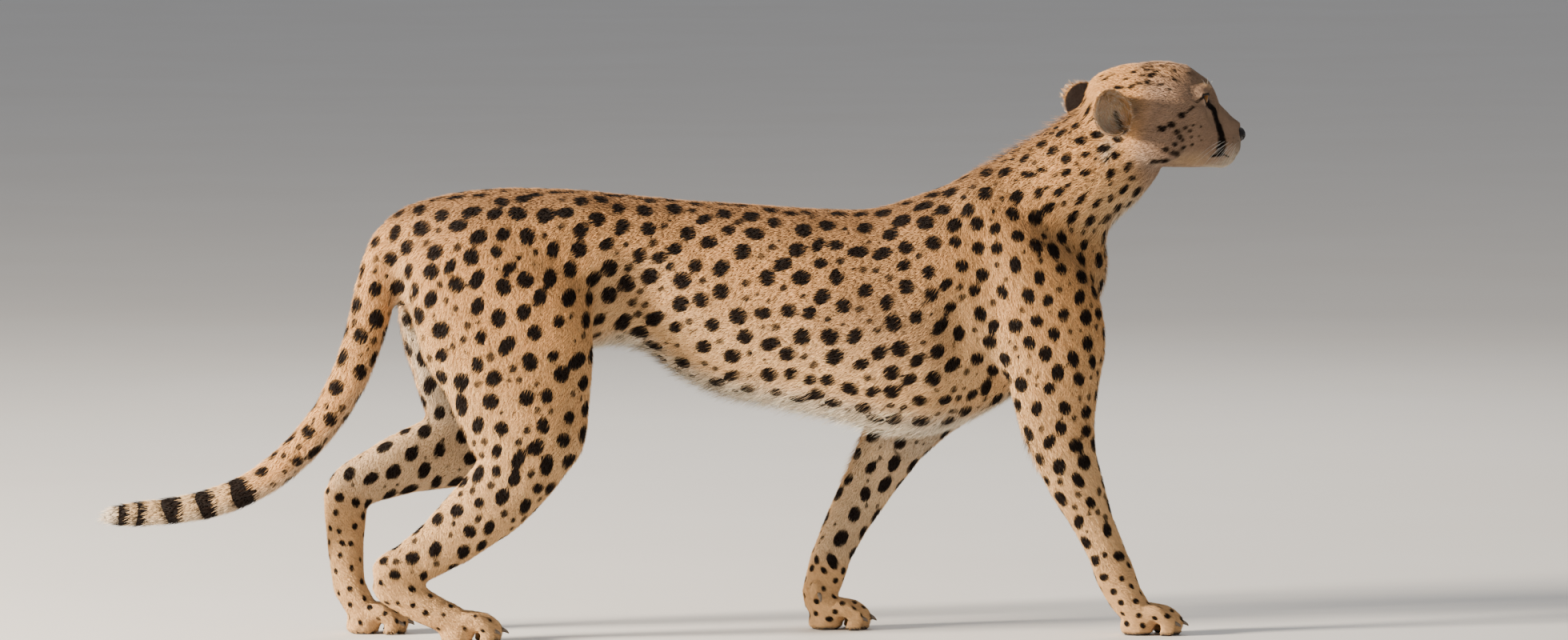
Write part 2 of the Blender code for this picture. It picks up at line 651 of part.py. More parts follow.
def soft_places(points):
    """How strongly each place is eased: most on the trunk, less on limbs, least on head and paws."""
    x, z = points[:, 0], points[:, 2]
    trunk = ramp(z, 0.34, 0.43) * ramp(x, -0.60, -0.54) * ramp(-x, -0.46, -0.38)
    softness = 0.10 + 0.90 * trunk
    return softness * (1 - fine_places(points)) + 0.09 * fine_places(points)


def thinned(body, fine, triangles):
    """Collapses the edges of one kind of place until so many triangles are left on the whole."""
    body.vertex_groups.clear()
    places = fine_places(points_of(body.data)) > 0.5
    thin = body.modifiers.new("thin", "DECIMATE")
    thin.vertex_group = weigh(body, "thin", (places == fine).astype(float))
    thin.vertex_group_factor = 0.0
    thin.ratio = triangles / triangle_count(body.data)
    thin.use_collapse_triangulate = True
    return applied(body)


def triangle_count(mesh):
    return sum(len(face.vertices) - 2 for face in mesh.polygons)


def sculpted_body():
    """The fused skin, eased, pressed into shape, thinned out and cut flat on the floor."""
    body = fused_body()
    ease = body.modifiers.new("ease", "SMOOTH")
    ease.factor, ease.iterations = 0.5, 160
    ease.vertex_group = weigh(body, "soft", soft_places(points_of(body.data)))
    applied(body)
    for middle, reach, height in BODY_PRESSES:
        for point in ([middle] if abs(middle[1]) > 0.1 else mirrored(middle)):
            press(body.data, point, reach, height)
    for middle, reach, height in HEAD_PRESSES:
        for point in mirrored(middle):
            press(body.data, point, reach, height, head_place())
    body.vertex_groups.clear()
    places = fine_places(points_of(body.data)) > 0.5
    on_fine = sum(len(f.vertices) - 2 for f in body.data.polygons if places[f.vertices[0]])
    thinned(body, False, on_fine + TRUNK_TRIANGLES)
    thinned(body, True, TRUNK_TRIANGLES + FINE_TRIANGLES)
    return take_away(body, box("floor", (0, 0, -0.5), (4, 4, 1)))


# ---------------------------------------------------------------- cutting

def box(name, middle, size, turn=Matrix()):
    mesh = bpy.data.meshes.new(name)
    bm = bmesh.new()
    placed = Matrix.Translation(middle) @ turn @ Matrix.Diagonal((*size, 1))
    bmesh.ops.create_cube(bm, size=1, matrix=placed)
    bm.to_mesh(mesh)
    bm.free()
    return object_of(mesh, name)


def boolean(obj, other, operation):
    """obj with a solid taken away from it or kept only inside it; the other solid is left alone."""
    cut = obj.modifiers.new(operation.lower(), "BOOLEAN")
    cut.operation = operation
    cut.object = other
    cut.solver = "EXACT"
    return applied(obj)


def take_away(obj, cutter):
    boolean(obj, cutter, "DIFFERENCE")
    bpy.data.objects.remove(cutter)
    return obj


def slab(point, direction, half_size):
    """A thin square plate across a limb."""
    turn = Vector(direction).to_track_quat("Z", "Y").to_matrix().to_4x4()
    return box("slab", point, (2 * half_size, 2 * half_size, GAP), turn)


def prism(outline, start, end, grown):
    """An outline across X and Z run from one Y to another, grown by so much on every side."""
    outline = [Vector(corner) for corner in outline]
    area = sum(a.cross(b) for a, b in zip(outline, outline[1:] + outline[:1]))
    spread = math.copysign(grown, area * grown)
    corners = []
    for before, corner, after in zip(outline[-1:] + outline[:-1], outline, outline[1:] + outline[:1]):
        into, out = (corner - before).normalized(), (after - corner).normalized()
        square_in, square_out = Vector((into.y, -into.x)), Vector((out.y, -out.x))
        corners.append(corner + (square_in + square_out) * (spread / (1 + square_in.dot(square_out))))
    beyond = math.copysign(grown, grown * (end - start))
    mesh = bpy.data.meshes.new("prism")
    bm = bmesh.new()
    inner = [bm.verts.new((c.x, start - beyond, c.y)) for c in corners]
    outer = [bm.verts.new((c.x, end + beyond, c.y)) for c in corners]
    bm.faces.new(inner)
    bm.faces.new(outer)
    for i in range(len(corners)):
        j = (i + 1) % len(corners)
        bm.faces.new((inner[i], inner[j], outer[j], outer[i]))
    bmesh.ops.recalc_face_normals(bm, faces=bm.faces)
    bm.to_mesh(mesh)
    bm.free()
    return object_of(mesh, "prism")


def part_off(body, outline, start, end):
    """Takes what lies in a prism off the body and returns it, GAP away from what stays."""
    piece = object_of(body.data.copy(), "piece")
    keep = prism(outline, start, end, -GAP / 2)
    boolean(piece, keep, "INTERSECT")
    bpy.data.objects.remove(keep)
    take_away(body, prism(outline, start, end, GAP / 2))
    return largest_piece(piece)


def loose_pieces(obj):
    """The separate closed shells of obj, each as an object of its own. Crumbs are dropped."""
    bm = bmesh.new()
    bm.from_mesh(obj.data)
    bm.verts.ensure_lookup_table()
    shell = {}
    count = 0
    for seed in bm.verts:
        if seed in shell:
            continue
        todo = [seed]
        shell[seed] = count
        while todo:
            for edge in todo.pop().link_edges:
                for vert in edge.verts:
                    if vert not in shell:
                        shell[vert] = count
                        todo.append(vert)
        count += 1
    made = []
    for number in range(count):
        part = bm.copy()
        part.verts.ensure_lookup_table()
        others = [part.verts[v.index] for v in bm.verts if shell[v] != number]
        bmesh.ops.delete(part, geom=others, context="VERTS")
        if part.calc_volume() > 1e-6:
            mesh = bpy.data.meshes.new(obj.name)
            part.to_mesh(mesh)
            made.append(object_of(mesh, obj.name))
        part.free()
    bm.free()
    bpy.data.objects.remove(obj)
    return made


def middle_of(obj):
    return Vector(points_of(obj.data).mean(axis=0))


def largest_piece(obj):
    pieces = sorted(loose_pieces(obj), key=lambda piece: len(piece.data.vertices))
    for crumb in pieces[:-1]:
        bpy.data.objects.remove(crumb)
    return pieces[-1]


def split(obj, point, direction, half_size):
    """Parts obj with a thin plate. Returns the piece before the plate and the piece beyond it."""
    take_away(obj, slab(point, direction, half_size))
    point, direction = Vector(point), Vector(direction)
    pieces = sorted(loose_pieces(obj), key=lambda piece: (middle_of(piece) - point).dot(direction))
    return pieces[0], pieces[-1]


def chain(obj, cuts, prefix=""):
    """Parts obj with one cut after another. The piece before each cut takes the cut's name."""
    for name, *cut in cuts[:-1]:
        before, obj = split(obj, *cut)
        before.name = prefix + name
    obj.name = prefix + cuts[-1]


def part_body(body):
    """Parts the body into its named pieces."""
    for name, outline in LEG_OUTLINES.items():
        side = -1 if name.endswith("right") else 1
        chain(part_off(body, outline, side * LEG_CORE, side * 0.4), LEG_CUTS[name], name + "_")
    chain(part_off(body, TAIL_OUTLINE, -0.2, 0.2), TAIL_CUTS)
    chain(largest_piece(body), TRUNK_CUTS)


def add_small_parts():
    """Eyes, nose leather, ears and claws, each let into a socket GAP wider than itself."""
    head, neck = bpy.data.objects["head"], bpy.data.objects["neck"]
    nose("nose")
    take_away(head, nose("socket", GAP))
    for side, word in ((1, "left"), (-1, "right")):
        eye(side, f"eye_{word}")
        take_away(head, eye(side, "socket", GAP))
        ear(side, f"ear_{word}")
        take_away(head, ear(side, "socket", GAP))
        take_away(neck, ear(side, "socket", GAP))
    largest_piece(head).name = "head"
    largest_piece(neck).name = "neck"
    for name in PAWS:
        paw = bpy.data.objects[f"{name}_{LEG_CUTS[name][-1]}"]
        for number, (root, direction) in enumerate(claw_points(name), 1):
            claw(root, direction, f"{name}_claw_{number}")
            take_away(paw, claw(root, direction, "socket", GAP))


# ---------------------------------------------------------------- materials and finish

def slot_of(name):
    if "claw" in name:
        return "horn"
    if name.startswith("eye"):
        return "amber_eye"
    if name == "nose":
        return "nose_leather"
    if name.startswith(("foreleg", "hindleg")) and not name.endswith(("upper", "thigh")):
        return "pale_fur"
    return "spotted_fur"


def add_materials():
    made = {
        "spotted_fur": material("spotted_fur", COAT, 0.85),
        "pale_fur": material("pale_fur", PALE_COAT, 0.85),
        "amber_eye": material("amber_eye", AMBER, 0.05),
        "nose_leather": material("nose_leather", DARK, 0.45),
        "horn": material("horn", HORN, 0.35),
    }
    for obj in bpy.data.objects:
        copy = made[slot_of(obj.name)].copy()
        copy.name = f"{slot_of(obj.name)}.{obj.name}"
        obj.data.materials.clear()
        obj.data.materials.append(copy)
        for face in obj.data.polygons:
            face.material_index = 0


def rest_on_origin():
    """Moves everything so that the origin lies under the middle of the bounding box."""
    points = np.vstack([points_of(obj.data) for obj in bpy.data.objects])
    low, high = points.min(axis=0), points.max(axis=0)
    move = Matrix.Translation((-(low[0] + high[0]) / 2, -(low[1] + high[1]) / 2, -low[2]))
    for obj in bpy.data.objects:
        obj.data.transform(move)


def main():
    clear_scene()
    part_body(sculpted_body())
    add_small_parts()
    add_materials()
    rest_on_origin()
    for obj in bpy.data.objects:
        obj.data.set_sharp_from_angle(angle=math.radians(40))


main()
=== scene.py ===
"""The looks of a walking cheetah: one skin with a coat of short tufts, eyes, nose leather, claws and
whiskers, in a plain pale studio.

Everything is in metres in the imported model's own frame: X forward, Y to the animal's left, Z up. The skin
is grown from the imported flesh, pulled in by the coat's depth, and sculpted with functions of the head's
own frame, which is found from the eyes and the nose.
"""

import itertools
import math

import bmesh
import bpy
import numpy as np
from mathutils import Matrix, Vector
from mathutils.bvhtree import BVHTree
from mathutils.kdtree import KDTree


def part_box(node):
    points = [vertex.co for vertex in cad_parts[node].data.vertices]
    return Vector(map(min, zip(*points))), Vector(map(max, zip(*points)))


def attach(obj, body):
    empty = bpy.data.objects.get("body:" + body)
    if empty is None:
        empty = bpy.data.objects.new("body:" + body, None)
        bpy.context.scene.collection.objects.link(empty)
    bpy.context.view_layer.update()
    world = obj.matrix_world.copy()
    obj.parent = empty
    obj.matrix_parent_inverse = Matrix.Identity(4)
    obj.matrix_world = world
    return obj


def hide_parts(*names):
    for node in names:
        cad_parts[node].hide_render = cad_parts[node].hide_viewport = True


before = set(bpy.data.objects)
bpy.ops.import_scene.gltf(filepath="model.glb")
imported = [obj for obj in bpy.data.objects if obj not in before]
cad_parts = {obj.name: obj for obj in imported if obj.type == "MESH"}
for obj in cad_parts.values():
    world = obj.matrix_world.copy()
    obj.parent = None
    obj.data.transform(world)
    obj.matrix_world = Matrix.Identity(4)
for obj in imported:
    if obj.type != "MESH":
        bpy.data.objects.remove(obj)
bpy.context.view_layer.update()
RNG = np.random.default_rng(7)

# ---------------------------------------------------------------- sizes

SKIN_VOXEL = 0.0026          # grain of the skin before the face is refined
SKIN_TRIANGLES = 66500       # kept outside the head and paws
OWNER_CELL = 0.012           # grain in which the first skin is shared out among the nodes
SMOOTHINGS = 60              # rounds that ease the facets out
ROUGHNESS = 0.00028          # of the first skin before it is thinned
WEIGHT_LEVELS = 40           # steps of a vertex group's weight
COVER = 1.6       # how many tufts lie over one another
TUFTS_PER_PIECE = 48000
TUFT_WIDE = 0.085            # of its length, between the two widths below
TUFT_LEAST, TUFT_MOST = 0.00026, 0.00095
STREAK_WIDE, STREAK_LONG = 0.00018, 0.006        # grain of the streaks on a tuft
MOST_TUFTS = 2.2e6           # to a square metre
PATCH = 0.003                # a tuft's patch on the baking map
CHART_GAP = 0.014            # between the nodes' charts on it

# Coat by region: depth of the coat over the skin, length of a tuft, weight in the first smoothing.
COATS = {
    "chest": (0.0034, 0.0110, 1.00),
    "loin": (0.0034, 0.0110, 1.00),
    "rump": (0.0034, 0.0110, 1.00),
    "neck": (0.0038, 0.0120, 0.80),
    "head": (0.0020, 0.0085, 0.10),
    "ear": (0.0008, 0.0060, 0.03),
    "upper": (0.0030, 0.0095, 0.55),
    "thigh": (0.0030, 0.0100, 0.70),
    "forearm": (0.0020, 0.0072, 0.25),
    "shank": (0.0020, 0.0078, 0.30),
    "paw": (0.0010, 0.0048, 0.06),
    "foot": (0.0014, 0.0058, 0.12),
    "tail": (0.0032, 0.0120, 0.25),
}

# Colours, linear.
TAN = np.array((0.66, 0.355, 0.140))
BACK = np.array((0.27, 0.140, 0.063))
CREAM = np.array((0.80, 0.54, 0.29))
WHITE = np.array((0.86, 0.74, 0.58))
GREY_TAN = np.array((0.355, 0.245, 0.180))
# the ears' hollows: their own brown, brightened with painted light in the hollow
EAR_BROWN_AND_PAINTED_GLOW = np.array((0.93, 0.590, 0.350))
BLACK = np.array((0.0058, 0.0033, 0.0024))
RUST = np.array((0.050, 0.022, 0.010))       # in some of the black hairs
PAD = np.array((0.035, 0.028, 0.025))


# ---------------------------------------------------------------- helpers

def corner(name):
    low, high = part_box(name)
    return np.array(low), np.array(high)


def centre(name):
    low, high = corner(name)
    return (low + high) / 2


def unit(v):
    v = np.asarray(v, float)
    return v / np.maximum(np.linalg.norm(v, axis=-1, keepdims=True), 1e-12)


def ramp(x, low, high):
    """0 below low, 1 above high and smooth between; low may be the larger one."""
    t = np.clip((x - low) / (high - low), 0, 1)
    return t * t * (3 - 2 * t)


def bump(points, middle, reach):
    """1 at a point, fading to 0 at its reach along each axis."""
    d = np.linalg.norm((points - np.array(middle)) / np.array(reach), axis=-1)
    return ramp(d, 1.0, 0.0)


def mix(a, b, t):
    t = np.asarray(t)
    if max(np.ndim(a), np.ndim(b)) > t.ndim:
        t = t[..., None]
    return a * (1 - t) + b * t


def wobble(points, size, seed=0.0):
    """Smooth values from about -1 to 1 that vary over size metres."""
    p = points / size + seed * 17.31
    total = 0
    for k, (a, b, c) in enumerate(((1.0, 1.7, 0.6), (-1.3, 0.8, 1.5), (0.7, -1.6, 1.2), (1.9, 0.5, -1.1))):
        total = total + np.sin(a * p[:, 0] + b * p[:, 1] + c * p[:, 2] + 2.1 * k + seed)
    return total / 2.6


def read(items, key, width=1, kind=np.int32):
    """One property of every item in a collection, a row each."""
    flat = np.empty(len(items) * width, kind)
    items.foreach_get(key, flat)
    return flat.reshape(-1, width) if width > 1 else flat


def points_of(mesh):
    return read(mesh.vertices, "co", 3, np.float32).astype(float)


def set_points(mesh, points):
    mesh.vertices.foreach_set("co", points.astype(np.float32).ravel())
    mesh.update()


def triangles_of(mesh):
    mesh.calc_loop_triangles()
    return read(mesh.loop_triangles, "vertices", 3)


def edges_of(mesh):
    return read(mesh.edges, "vertices", 2)


def tree_of(points):
    """A search tree of points, found by their row."""
    tree = KDTree(len(points))
    for i, p in enumerate(points.tolist()):
        tree.insert(p, i)
    tree.balance()
    return tree


def normals_of(points, triangles):
    """Vertex normals, weighted by area."""
    a, b, c = points[triangles[:, 0]], points[triangles[:, 1]], points[triangles[:, 2]]
    face = np.cross(b - a, c - a)
    total = np.zeros_like(points)
    for k in range(3):
        for axis in range(3):
            total[:, axis] += np.bincount(triangles[:, k], face[:, axis], len(points))
    return unit(total)


def eased(values, edges, rounds, weight=None):
    """Values averaged with their neighbours' over and over."""
    values = np.asarray(values, float)
    flat = values.reshape(len(values), -1).copy()
    count = np.bincount(edges.ravel(), minlength=len(flat)).clip(1)
    share = 1.0 if weight is None else weight[:, None]
    for _ in range(rounds):
        total = np.empty_like(flat)
        for k in range(flat.shape[1]):
            total[:, k] = np.bincount(edges[:, 0], flat[edges[:, 1], k], len(flat))
            total[:, k] += np.bincount(edges[:, 1], flat[edges[:, 0], k], len(flat))
        flat += (total / count[:, None] - flat) * share
    return flat.reshape(values.shape)


def shape(name, make, **settings):
    """A mesh of one of bmesh's own shapes."""
    bm = bmesh.new()
    make(bm, **settings)
    mesh = bpy.data.meshes.new(name)
    bm.to_mesh(mesh)
    bm.free()
    return mesh


def sphere(name, cuts):
    return shape(name, bmesh.ops.create_icosphere, subdivisions=cuts, radius=1.0)


def mesh_from(name, points, faces):
    """A mesh of triangles from arrays."""
    mesh = bpy.data.meshes.new(name)
    mesh.vertices.add(len(points))
    mesh.vertices.foreach_set("co", points.astype(np.float32).ravel())
    mesh.loops.add(faces.size)
    mesh.loops.foreach_set("vertex_index", faces.astype(np.int32).ravel())
    mesh.polygons.add(len(faces))
    mesh.polygons.foreach_set("loop_start", np.arange(0, faces.size, 3, dtype=np.int32))
    mesh.update(calc_edges=True)
    return mesh


def object_of(mesh, name):
    obj = bpy.data.objects.new(name, mesh)
    bpy.context.scene.collection.objects.link(obj)
    return obj


def modify(obj, kind, **settings):
    """Adds one modifier to obj and applies it."""
    made = obj.modifiers.new(kind.lower(), kind)
    for key, value in settings.items():
        setattr(made, key, value)
    graph = bpy.context.evaluated_depsgraph_get()
    mesh = bpy.data.meshes.new_from_object(obj.evaluated_get(graph))
    obj.modifiers.clear()
    old = obj.data
    obj.data = mesh
    bpy.data.meshes.remove(old)


def put(mesh, name, values):
    """A named value, or colour, at each vertex."""
    values = np.asarray(values, np.float32)
    if values.ndim == 1:
        mesh.attributes.new(name, "FLOAT", "POINT").data.foreach_set("value", values)
    else:
        four = np.ones((len(values), 4), np.float32)
        four[:, :3] = values
        mesh.attributes.new(name, "FLOAT_COLOR", "POINT").data.foreach_set("color", four.ravel())


def shade_smooth(mesh):
    mesh.polygons.foreach_set("use_smooth", np.ones(len(mesh.polygons), bool))
    mesh.update()


def piece_of(mesh, name, mat):
    """A smooth object in one material."""
    shade_smooth(mesh)
    mesh.materials.append(mat)
    return object_of(mesh, name)


# ---------------------------------------------------------------- the head's own frame

EYE_LEFT = centre("eye_left")
EYE_RIGHT = centre("eye_right")
NOSE = centre("nose")
EYE_RADIUS = float((corner("eye_left")[1] - corner("eye_left")[0]).max() / 2)
EYE_PLACE = np.array((-0.0205, 0.037, 0.006))     # the left eye in the head's frame
NOSE_FROM_EYES = (0.0845, -0.0455)                # the nose ahead of and above the eyes


def head_frame():
    """Origin and axes (forward, left, up) of the head."""
    left = unit(EYE_LEFT - EYE_RIGHT)
    middle = (EYE_LEFT + EYE_RIGHT) / 2
    to_nose = NOSE - middle
    to_nose = unit(to_nose - left * to_nose.dot(left))
    angle = math.atan2(NOSE_FROM_EYES[1], NOSE_FROM_EYES[0])
    across = np.cross(to_nose, left)
    forward = to_nose * math.cos(angle) - across * math.sin(angle)
    up = np.cross(forward, left)
    axes = np.array((forward, left, up))
    origin = middle - (EYE_PLACE * (1, 0, 1)) @ axes
    return origin, axes


HEAD_ORIGIN, HEAD_AXES = head_frame()


def to_head(points):
    return (points - HEAD_ORIGIN) @ HEAD_AXES.T


def from_head(points):
    return np.asarray(points) @ HEAD_AXES + HEAD_ORIGIN


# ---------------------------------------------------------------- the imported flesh

def is_flesh(name):
    return not (name.startswith("eye") or name == "nose" or "_claw_" in name)


FLESH = sorted(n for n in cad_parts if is_flesh(n))
CLAWS = sorted(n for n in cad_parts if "_claw_" in n)


def coat_of(name):
    for key in COATS:
        if name.startswith(key) or name.endswith(key):
            return COATS[key]
    raise KeyError(name)


def by_node(value, owner):
    """A value worked out from the name of each vertex's own node."""
    return np.array([value(name) for name in FLESH])[owner]


def joined(names, grown=0.0):
    """Points and triangles of several nodes, each grown a little, and each triangle's node."""
    all_points, all_faces, owner = [], [], []
    start = 0
    for index, name in enumerate(names):
        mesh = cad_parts[name].data
        points, faces = points_of(mesh), triangles_of(mesh)
        _, first, back = np.unique(points.round(7), axis=0, return_index=True, return_inverse=True)
        points, faces = points[first], back.ravel()[faces]
        faces = faces[(faces != np.roll(faces, 1, axis=1)).all(axis=1)]
        points = points + normals_of(points, faces) * grown
        all_points.append(points)
        all_faces.append(faces + start)
        owner.append(np.full(len(faces), index))
        start += len(points)
    return np.concatenate(all_points), np.concatenate(all_faces), np.concatenate(owner)


FLESH_POINTS, FLESH_FACES, FLESH_OWNER = joined(FLESH)
FLESH_TREE = BVHTree.FromPolygons(FLESH_POINTS.tolist(), FLESH_FACES.tolist())


def nearest(points):
    """Each point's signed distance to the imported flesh, positive outside, and its nearest node."""
    distance = np.empty(len(points))
    owner = np.empty(len(points), int)
    for i, p in enumerate(points.tolist()):
        place, normal, face, far = FLESH_TREE.find_nearest(p)
        p = Vector(p)
        distance[i] = far if (p - place).dot(normal) > 0 else -far
        owner[i] = FLESH_OWNER[face]
    return distance, owner


# ---------------------------------------------------------------- the skin

def weigh(obj, name, weights):
    group = obj.vertex_groups.new(name=name)
    levels = np.round(np.clip(weights, 0, 1) * WEIGHT_LEVELS).astype(int)
    for level in np.unique(levels[levels > 0]):
        group.add(np.nonzero(levels == level)[0].tolist(), float(level / WEIGHT_LEVELS), "REPLACE")


def on_head(points):
    return (to_head(points)[:, 0] > -0.055) & (points[:, 2] > HEAD_ORIGIN[2] - 0.16)


def rough_skin():
    """The fused flesh with its facets eased out, thinned on the trunk and limbs."""
    points, faces, _ = joined(FLESH + ["eye_left", "eye_right", "nose"], 0.0005)
    skin = object_of(mesh_from("skin", points, faces), "skin")
    modify(skin, "REMESH", mode="VOXEL", voxel_size=SKIN_VOXEL)
    points = points_of(skin.data)
    tree = tree_of(FLESH_POINTS[FLESH_FACES].mean(axis=1))
    cells, back = np.unique((points / OWNER_CELL).round().astype(int), axis=0, return_inverse=True)
    owner = np.array([FLESH_OWNER[tree.find(p)[1]] for p in (cells * OWNER_CELL).tolist()])[back.ravel()]
    soft = by_node(lambda n: coat_of(n)[2], owner)
    weigh(skin, "soft", eased(soft, edges_of(skin.data), 12))
    modify(skin, "SMOOTH", factor=1.0, iterations=SMOOTHINGS, vertex_group="soft")
    points = points_of(skin.data)
    fine = by_node(lambda n: n.startswith("ear") or n.endswith("paw"), owner) | on_head(points)
    skin.vertex_groups.clear()
    weigh(skin, "thin", 1.0 - fine)
    # a little roughness makes the thinning even, and is eased out after it
    rough = RNG.normal(0, ROUGHNESS, len(points)) * (1.0 - fine)
    set_points(skin.data, points + normals_of(points, triangles_of(skin.data)) * rough[:, None])
    faces = 2 * len(skin.data.polygons)
    ratio = SKIN_TRIANGLES / faces + fine.mean()
    modify(skin, "DECIMATE", vertex_group="thin", vertex_group_factor=1.0, ratio=ratio)
    skin.vertex_groups.clear()
    points, edges = points_of(skin.data), edges_of(skin.data)
    away = (~on_head(points)) & (points[:, 2] > 0.07)
    set_points(skin.data, eased(points, edges, 4, away * 0.5))
    return skin


def divided(skin, inside):
    """Each edge with both ends inside is halved, and its faces with it."""
    bm = bmesh.new()
    bm.from_mesh(skin.data)
    bm.verts.ensure_lookup_table()
    chosen = inside(points_of(skin.data))
    edges = [e for e in bm.edges if chosen[e.verts[0].index] and chosen[e.verts[1].index]]
    bmesh.ops.subdivide_edges(bm, edges=edges, cuts=1, use_grid_fill=True)
    bm.to_mesh(skin.data)
    bm.free()


def face_zone(points):
    h = to_head(points)
    return (h[:, 0] > -0.040) & (np.abs(h[:, 1]) < 0.09) & (h[:, 2] > -0.100) & (h[:, 2] < 0.034)


def feature_zone(points):
    h = to_head(points)
    side = h * np.where(h[:, 1:2] < 0, np.array((1, -1, 1)), 1)
    eye = np.linalg.norm(side - np.array((-0.012, 0.041, 0.004)), axis=1) < 0.0195
    mouth = (np.abs(h[:, 2] + 0.0665) < 0.006) & (h[:, 0] > 0.026) & (np.abs(h[:, 1]) < 0.04)
    nose = np.linalg.norm((h - np.array((0.064, 0, -0.042))) / np.array((1, 1.1, 1)), axis=1) < 0.019
    return eye | mouth | nose


GAZE = math.radians(25)      # how far each eye looks outwards
LID_HALF = math.radians(55)  # from the middle of the opening to either corner, round the eyeball
LID_TILT = 0.24              # rise of the outer corner over the inner one, per radian
UPPER_LID = math.radians(17)
LOWER_LID = math.radians(26)


def eye_frame(side):
    """Axes of one eye in the head's frame: the gaze, the way to the outer corner, and up."""
    gaze = np.array((math.cos(GAZE), side * math.sin(GAZE), 0.0))
    outer = np.array((-math.sin(GAZE), side * math.cos(GAZE), 0.0))
    return gaze, outer, np.array((0.0, 0.0, 1.0))


def lid_margin(h, side):
    """How far points lie from the eye's opening, in metres round the eyeball, negative inside it; how far
    from the eye's middle; their rise over the opening's line; their way from the middle; and the middle."""
    middle = EYE_PLACE * (1, side, 1)
    gaze, outer, up = eye_frame(side)
    v = h - middle
    far = np.linalg.norm(v, axis=1)
    d = v / far[:, None]
    around = np.arctan2(d @ outer, d @ gaze)
    rise = np.arcsin(np.clip(d @ up, -1, 1)) - LID_TILT * around
    t = np.clip(np.abs(around / LID_HALF), 0, 1)
    # the inner corner, towards the nose, is drawn out to a point
    inner = np.where(around < 0, 1.5, 0.9)
    upper = UPPER_LID * (1 - t ** 2) ** inner
    lower = -LOWER_LID * (1 - t ** 2) ** (inner * 1.05)
    over = np.maximum(rise - upper, lower - rise)
    beyond = np.abs(around) - LID_HALF
    margin = np.where(beyond > 0, np.hypot(beyond, np.maximum(over, 0)), over)
    return margin * EYE_RADIUS, far, rise, d, middle


def round_eyes(h):
    """For each eye, how far the points lie from its opening and from its middle."""
    return [lid_margin(h, side)[:2] for side in (1, -1)]


def sculpt_eyes(points):
    """Lids that hug the eyeballs round an opening drawn out towards the nose, and a brow over them."""
    h = to_head(points)
    for side in (1, -1):
        margin, far, rise, d, middle = lid_margin(h, side)
        ahead = d @ eye_frame(side)[0]
        near = (far < 0.036) & (h[:, 1] * side > 0.004) & (ahead > -0.10)
        near &= (margin < 0.0125) | (far < EYE_RADIUS + 0.0010)
        near |= (far < EYE_RADIUS + 0.0010) & (far > 0.004) & (ahead > -0.75)
        lid = EYE_RADIUS + 0.0011 + 0.0010 * ramp(margin, 0.0, 0.002) * ramp(margin, 0.008, 0.002)
        crease = -0.0013 * ramp(np.abs(margin - 0.0065), 0.0024, 0.0) * (rise > 0)
        hug = ramp(margin, 0.0125, 0.0035) * ramp(ahead, -0.10, 0.22)
        # the cheek under the eye keeps its own shape
        hug = hug * (1 - ramp(rise, 0.0, -0.25) * ramp(far - EYE_RADIUS, 0.004, 0.018))
        wanted = far + (lid + crease - far) * hug
        wanted = np.maximum(wanted, EYE_RADIUS + 0.0010)
        sunk = EYE_RADIUS - 0.0022
        wanted = np.where(margin < 0.0004, mix(lid, sunk, ramp(margin, 0.0004, -0.0007)), wanted)
        h = np.where(near[:, None], middle + d * wanted[:, None], h)
    return from_head(h)


LEATHER_AT = np.array((0.0642, 0.0, -0.0405))
LEATHER = np.array((0.0105, 0.0145, 0.0105))


def leather_reach(h):
    """How far points lie from the middle of the nose leather, 1 at its rim."""
    return np.linalg.norm((h - LEATHER_AT) / LEATHER, axis=1)


# Swellings and hollows of the left side of the face: height, middle, and reach along each axis.
FACE_FORMS = (
    (0.0018, (0.050, 0.019, -0.058), (0.020, 0.013, 0.011)),       # whisker pad
    (-0.0030, (0.072, 0.000, -0.058), (0.018, 0.020, 0.015)),      # front of the upper lip
    (-0.0016, (0.026, 0.019, -0.022), (0.024, 0.010, 0.016)),      # beside the bridge of the nose
    (0.0036, (-0.008, 0.038, 0.0215), (0.020, 0.020, 0.0085)),     # brow
    (-0.0012, (0.006, 0.044, -0.016), (0.018, 0.016, 0.010)),      # under the eye
)

# The line of the closed mouth on the left side: from under the nose to the corner.
MOUTH = np.array((
    (0.0670, 0.0000, -0.0625),
    (0.0655, 0.0060, -0.0655),
    (0.0600, 0.0130, -0.0685),
    (0.0520, 0.0190, -0.0695),
    (0.0430, 0.0240, -0.0690),
    (0.0335, 0.0275, -0.0680),
))


def to_line(points, line):
    """Each point's distance to a polyline, and how far along it that is, 0 to 1."""
    best = np.full(len(points), 9.0)
    along = np.zeros(len(points))
    for k, (a, b) in enumerate(zip(line[:-1], line[1:])):
        ab = b - a
        t = np.clip(((points - a) @ ab) / (ab @ ab), 0, 1)
        d = np.linalg.norm(points - (a + t[:, None] * ab), axis=1)
        closer = d < best
        best = np.where(closer, d, best)
        along = np.where(closer, (k + t) / (len(line) - 1), along)
    return best, along


def sided(h):
    """Points in the head's frame with the right half folded onto the left."""
    return np.column_stack((h[:, 0], np.abs(h[:, 1]), h[:, 2]))


def surface_of(points, triangles):
    """A search tree of the head's surface."""
    near = np.linalg.norm(points[triangles[:, 0]] - HEAD_ORIGIN, axis=1) < 0.22
    return BVHTree.FromPolygons(points.tolist(), triangles[near].tolist())


def laid(line, surface, steps=1):
    """A polyline in the left half of the head's frame, filled in with more points and laid on the skin."""
    line = np.asarray(line, float)
    parts = [a + (b - a) * (k / steps) for a, b in zip(line[:-1], line[1:]) for k in range(steps)]
    parts.append(line[-1])
    found = [np.array(surface.find_nearest(p)[0]) for p in from_head(np.array(parts)).tolist()]
    return to_head(np.array(found))


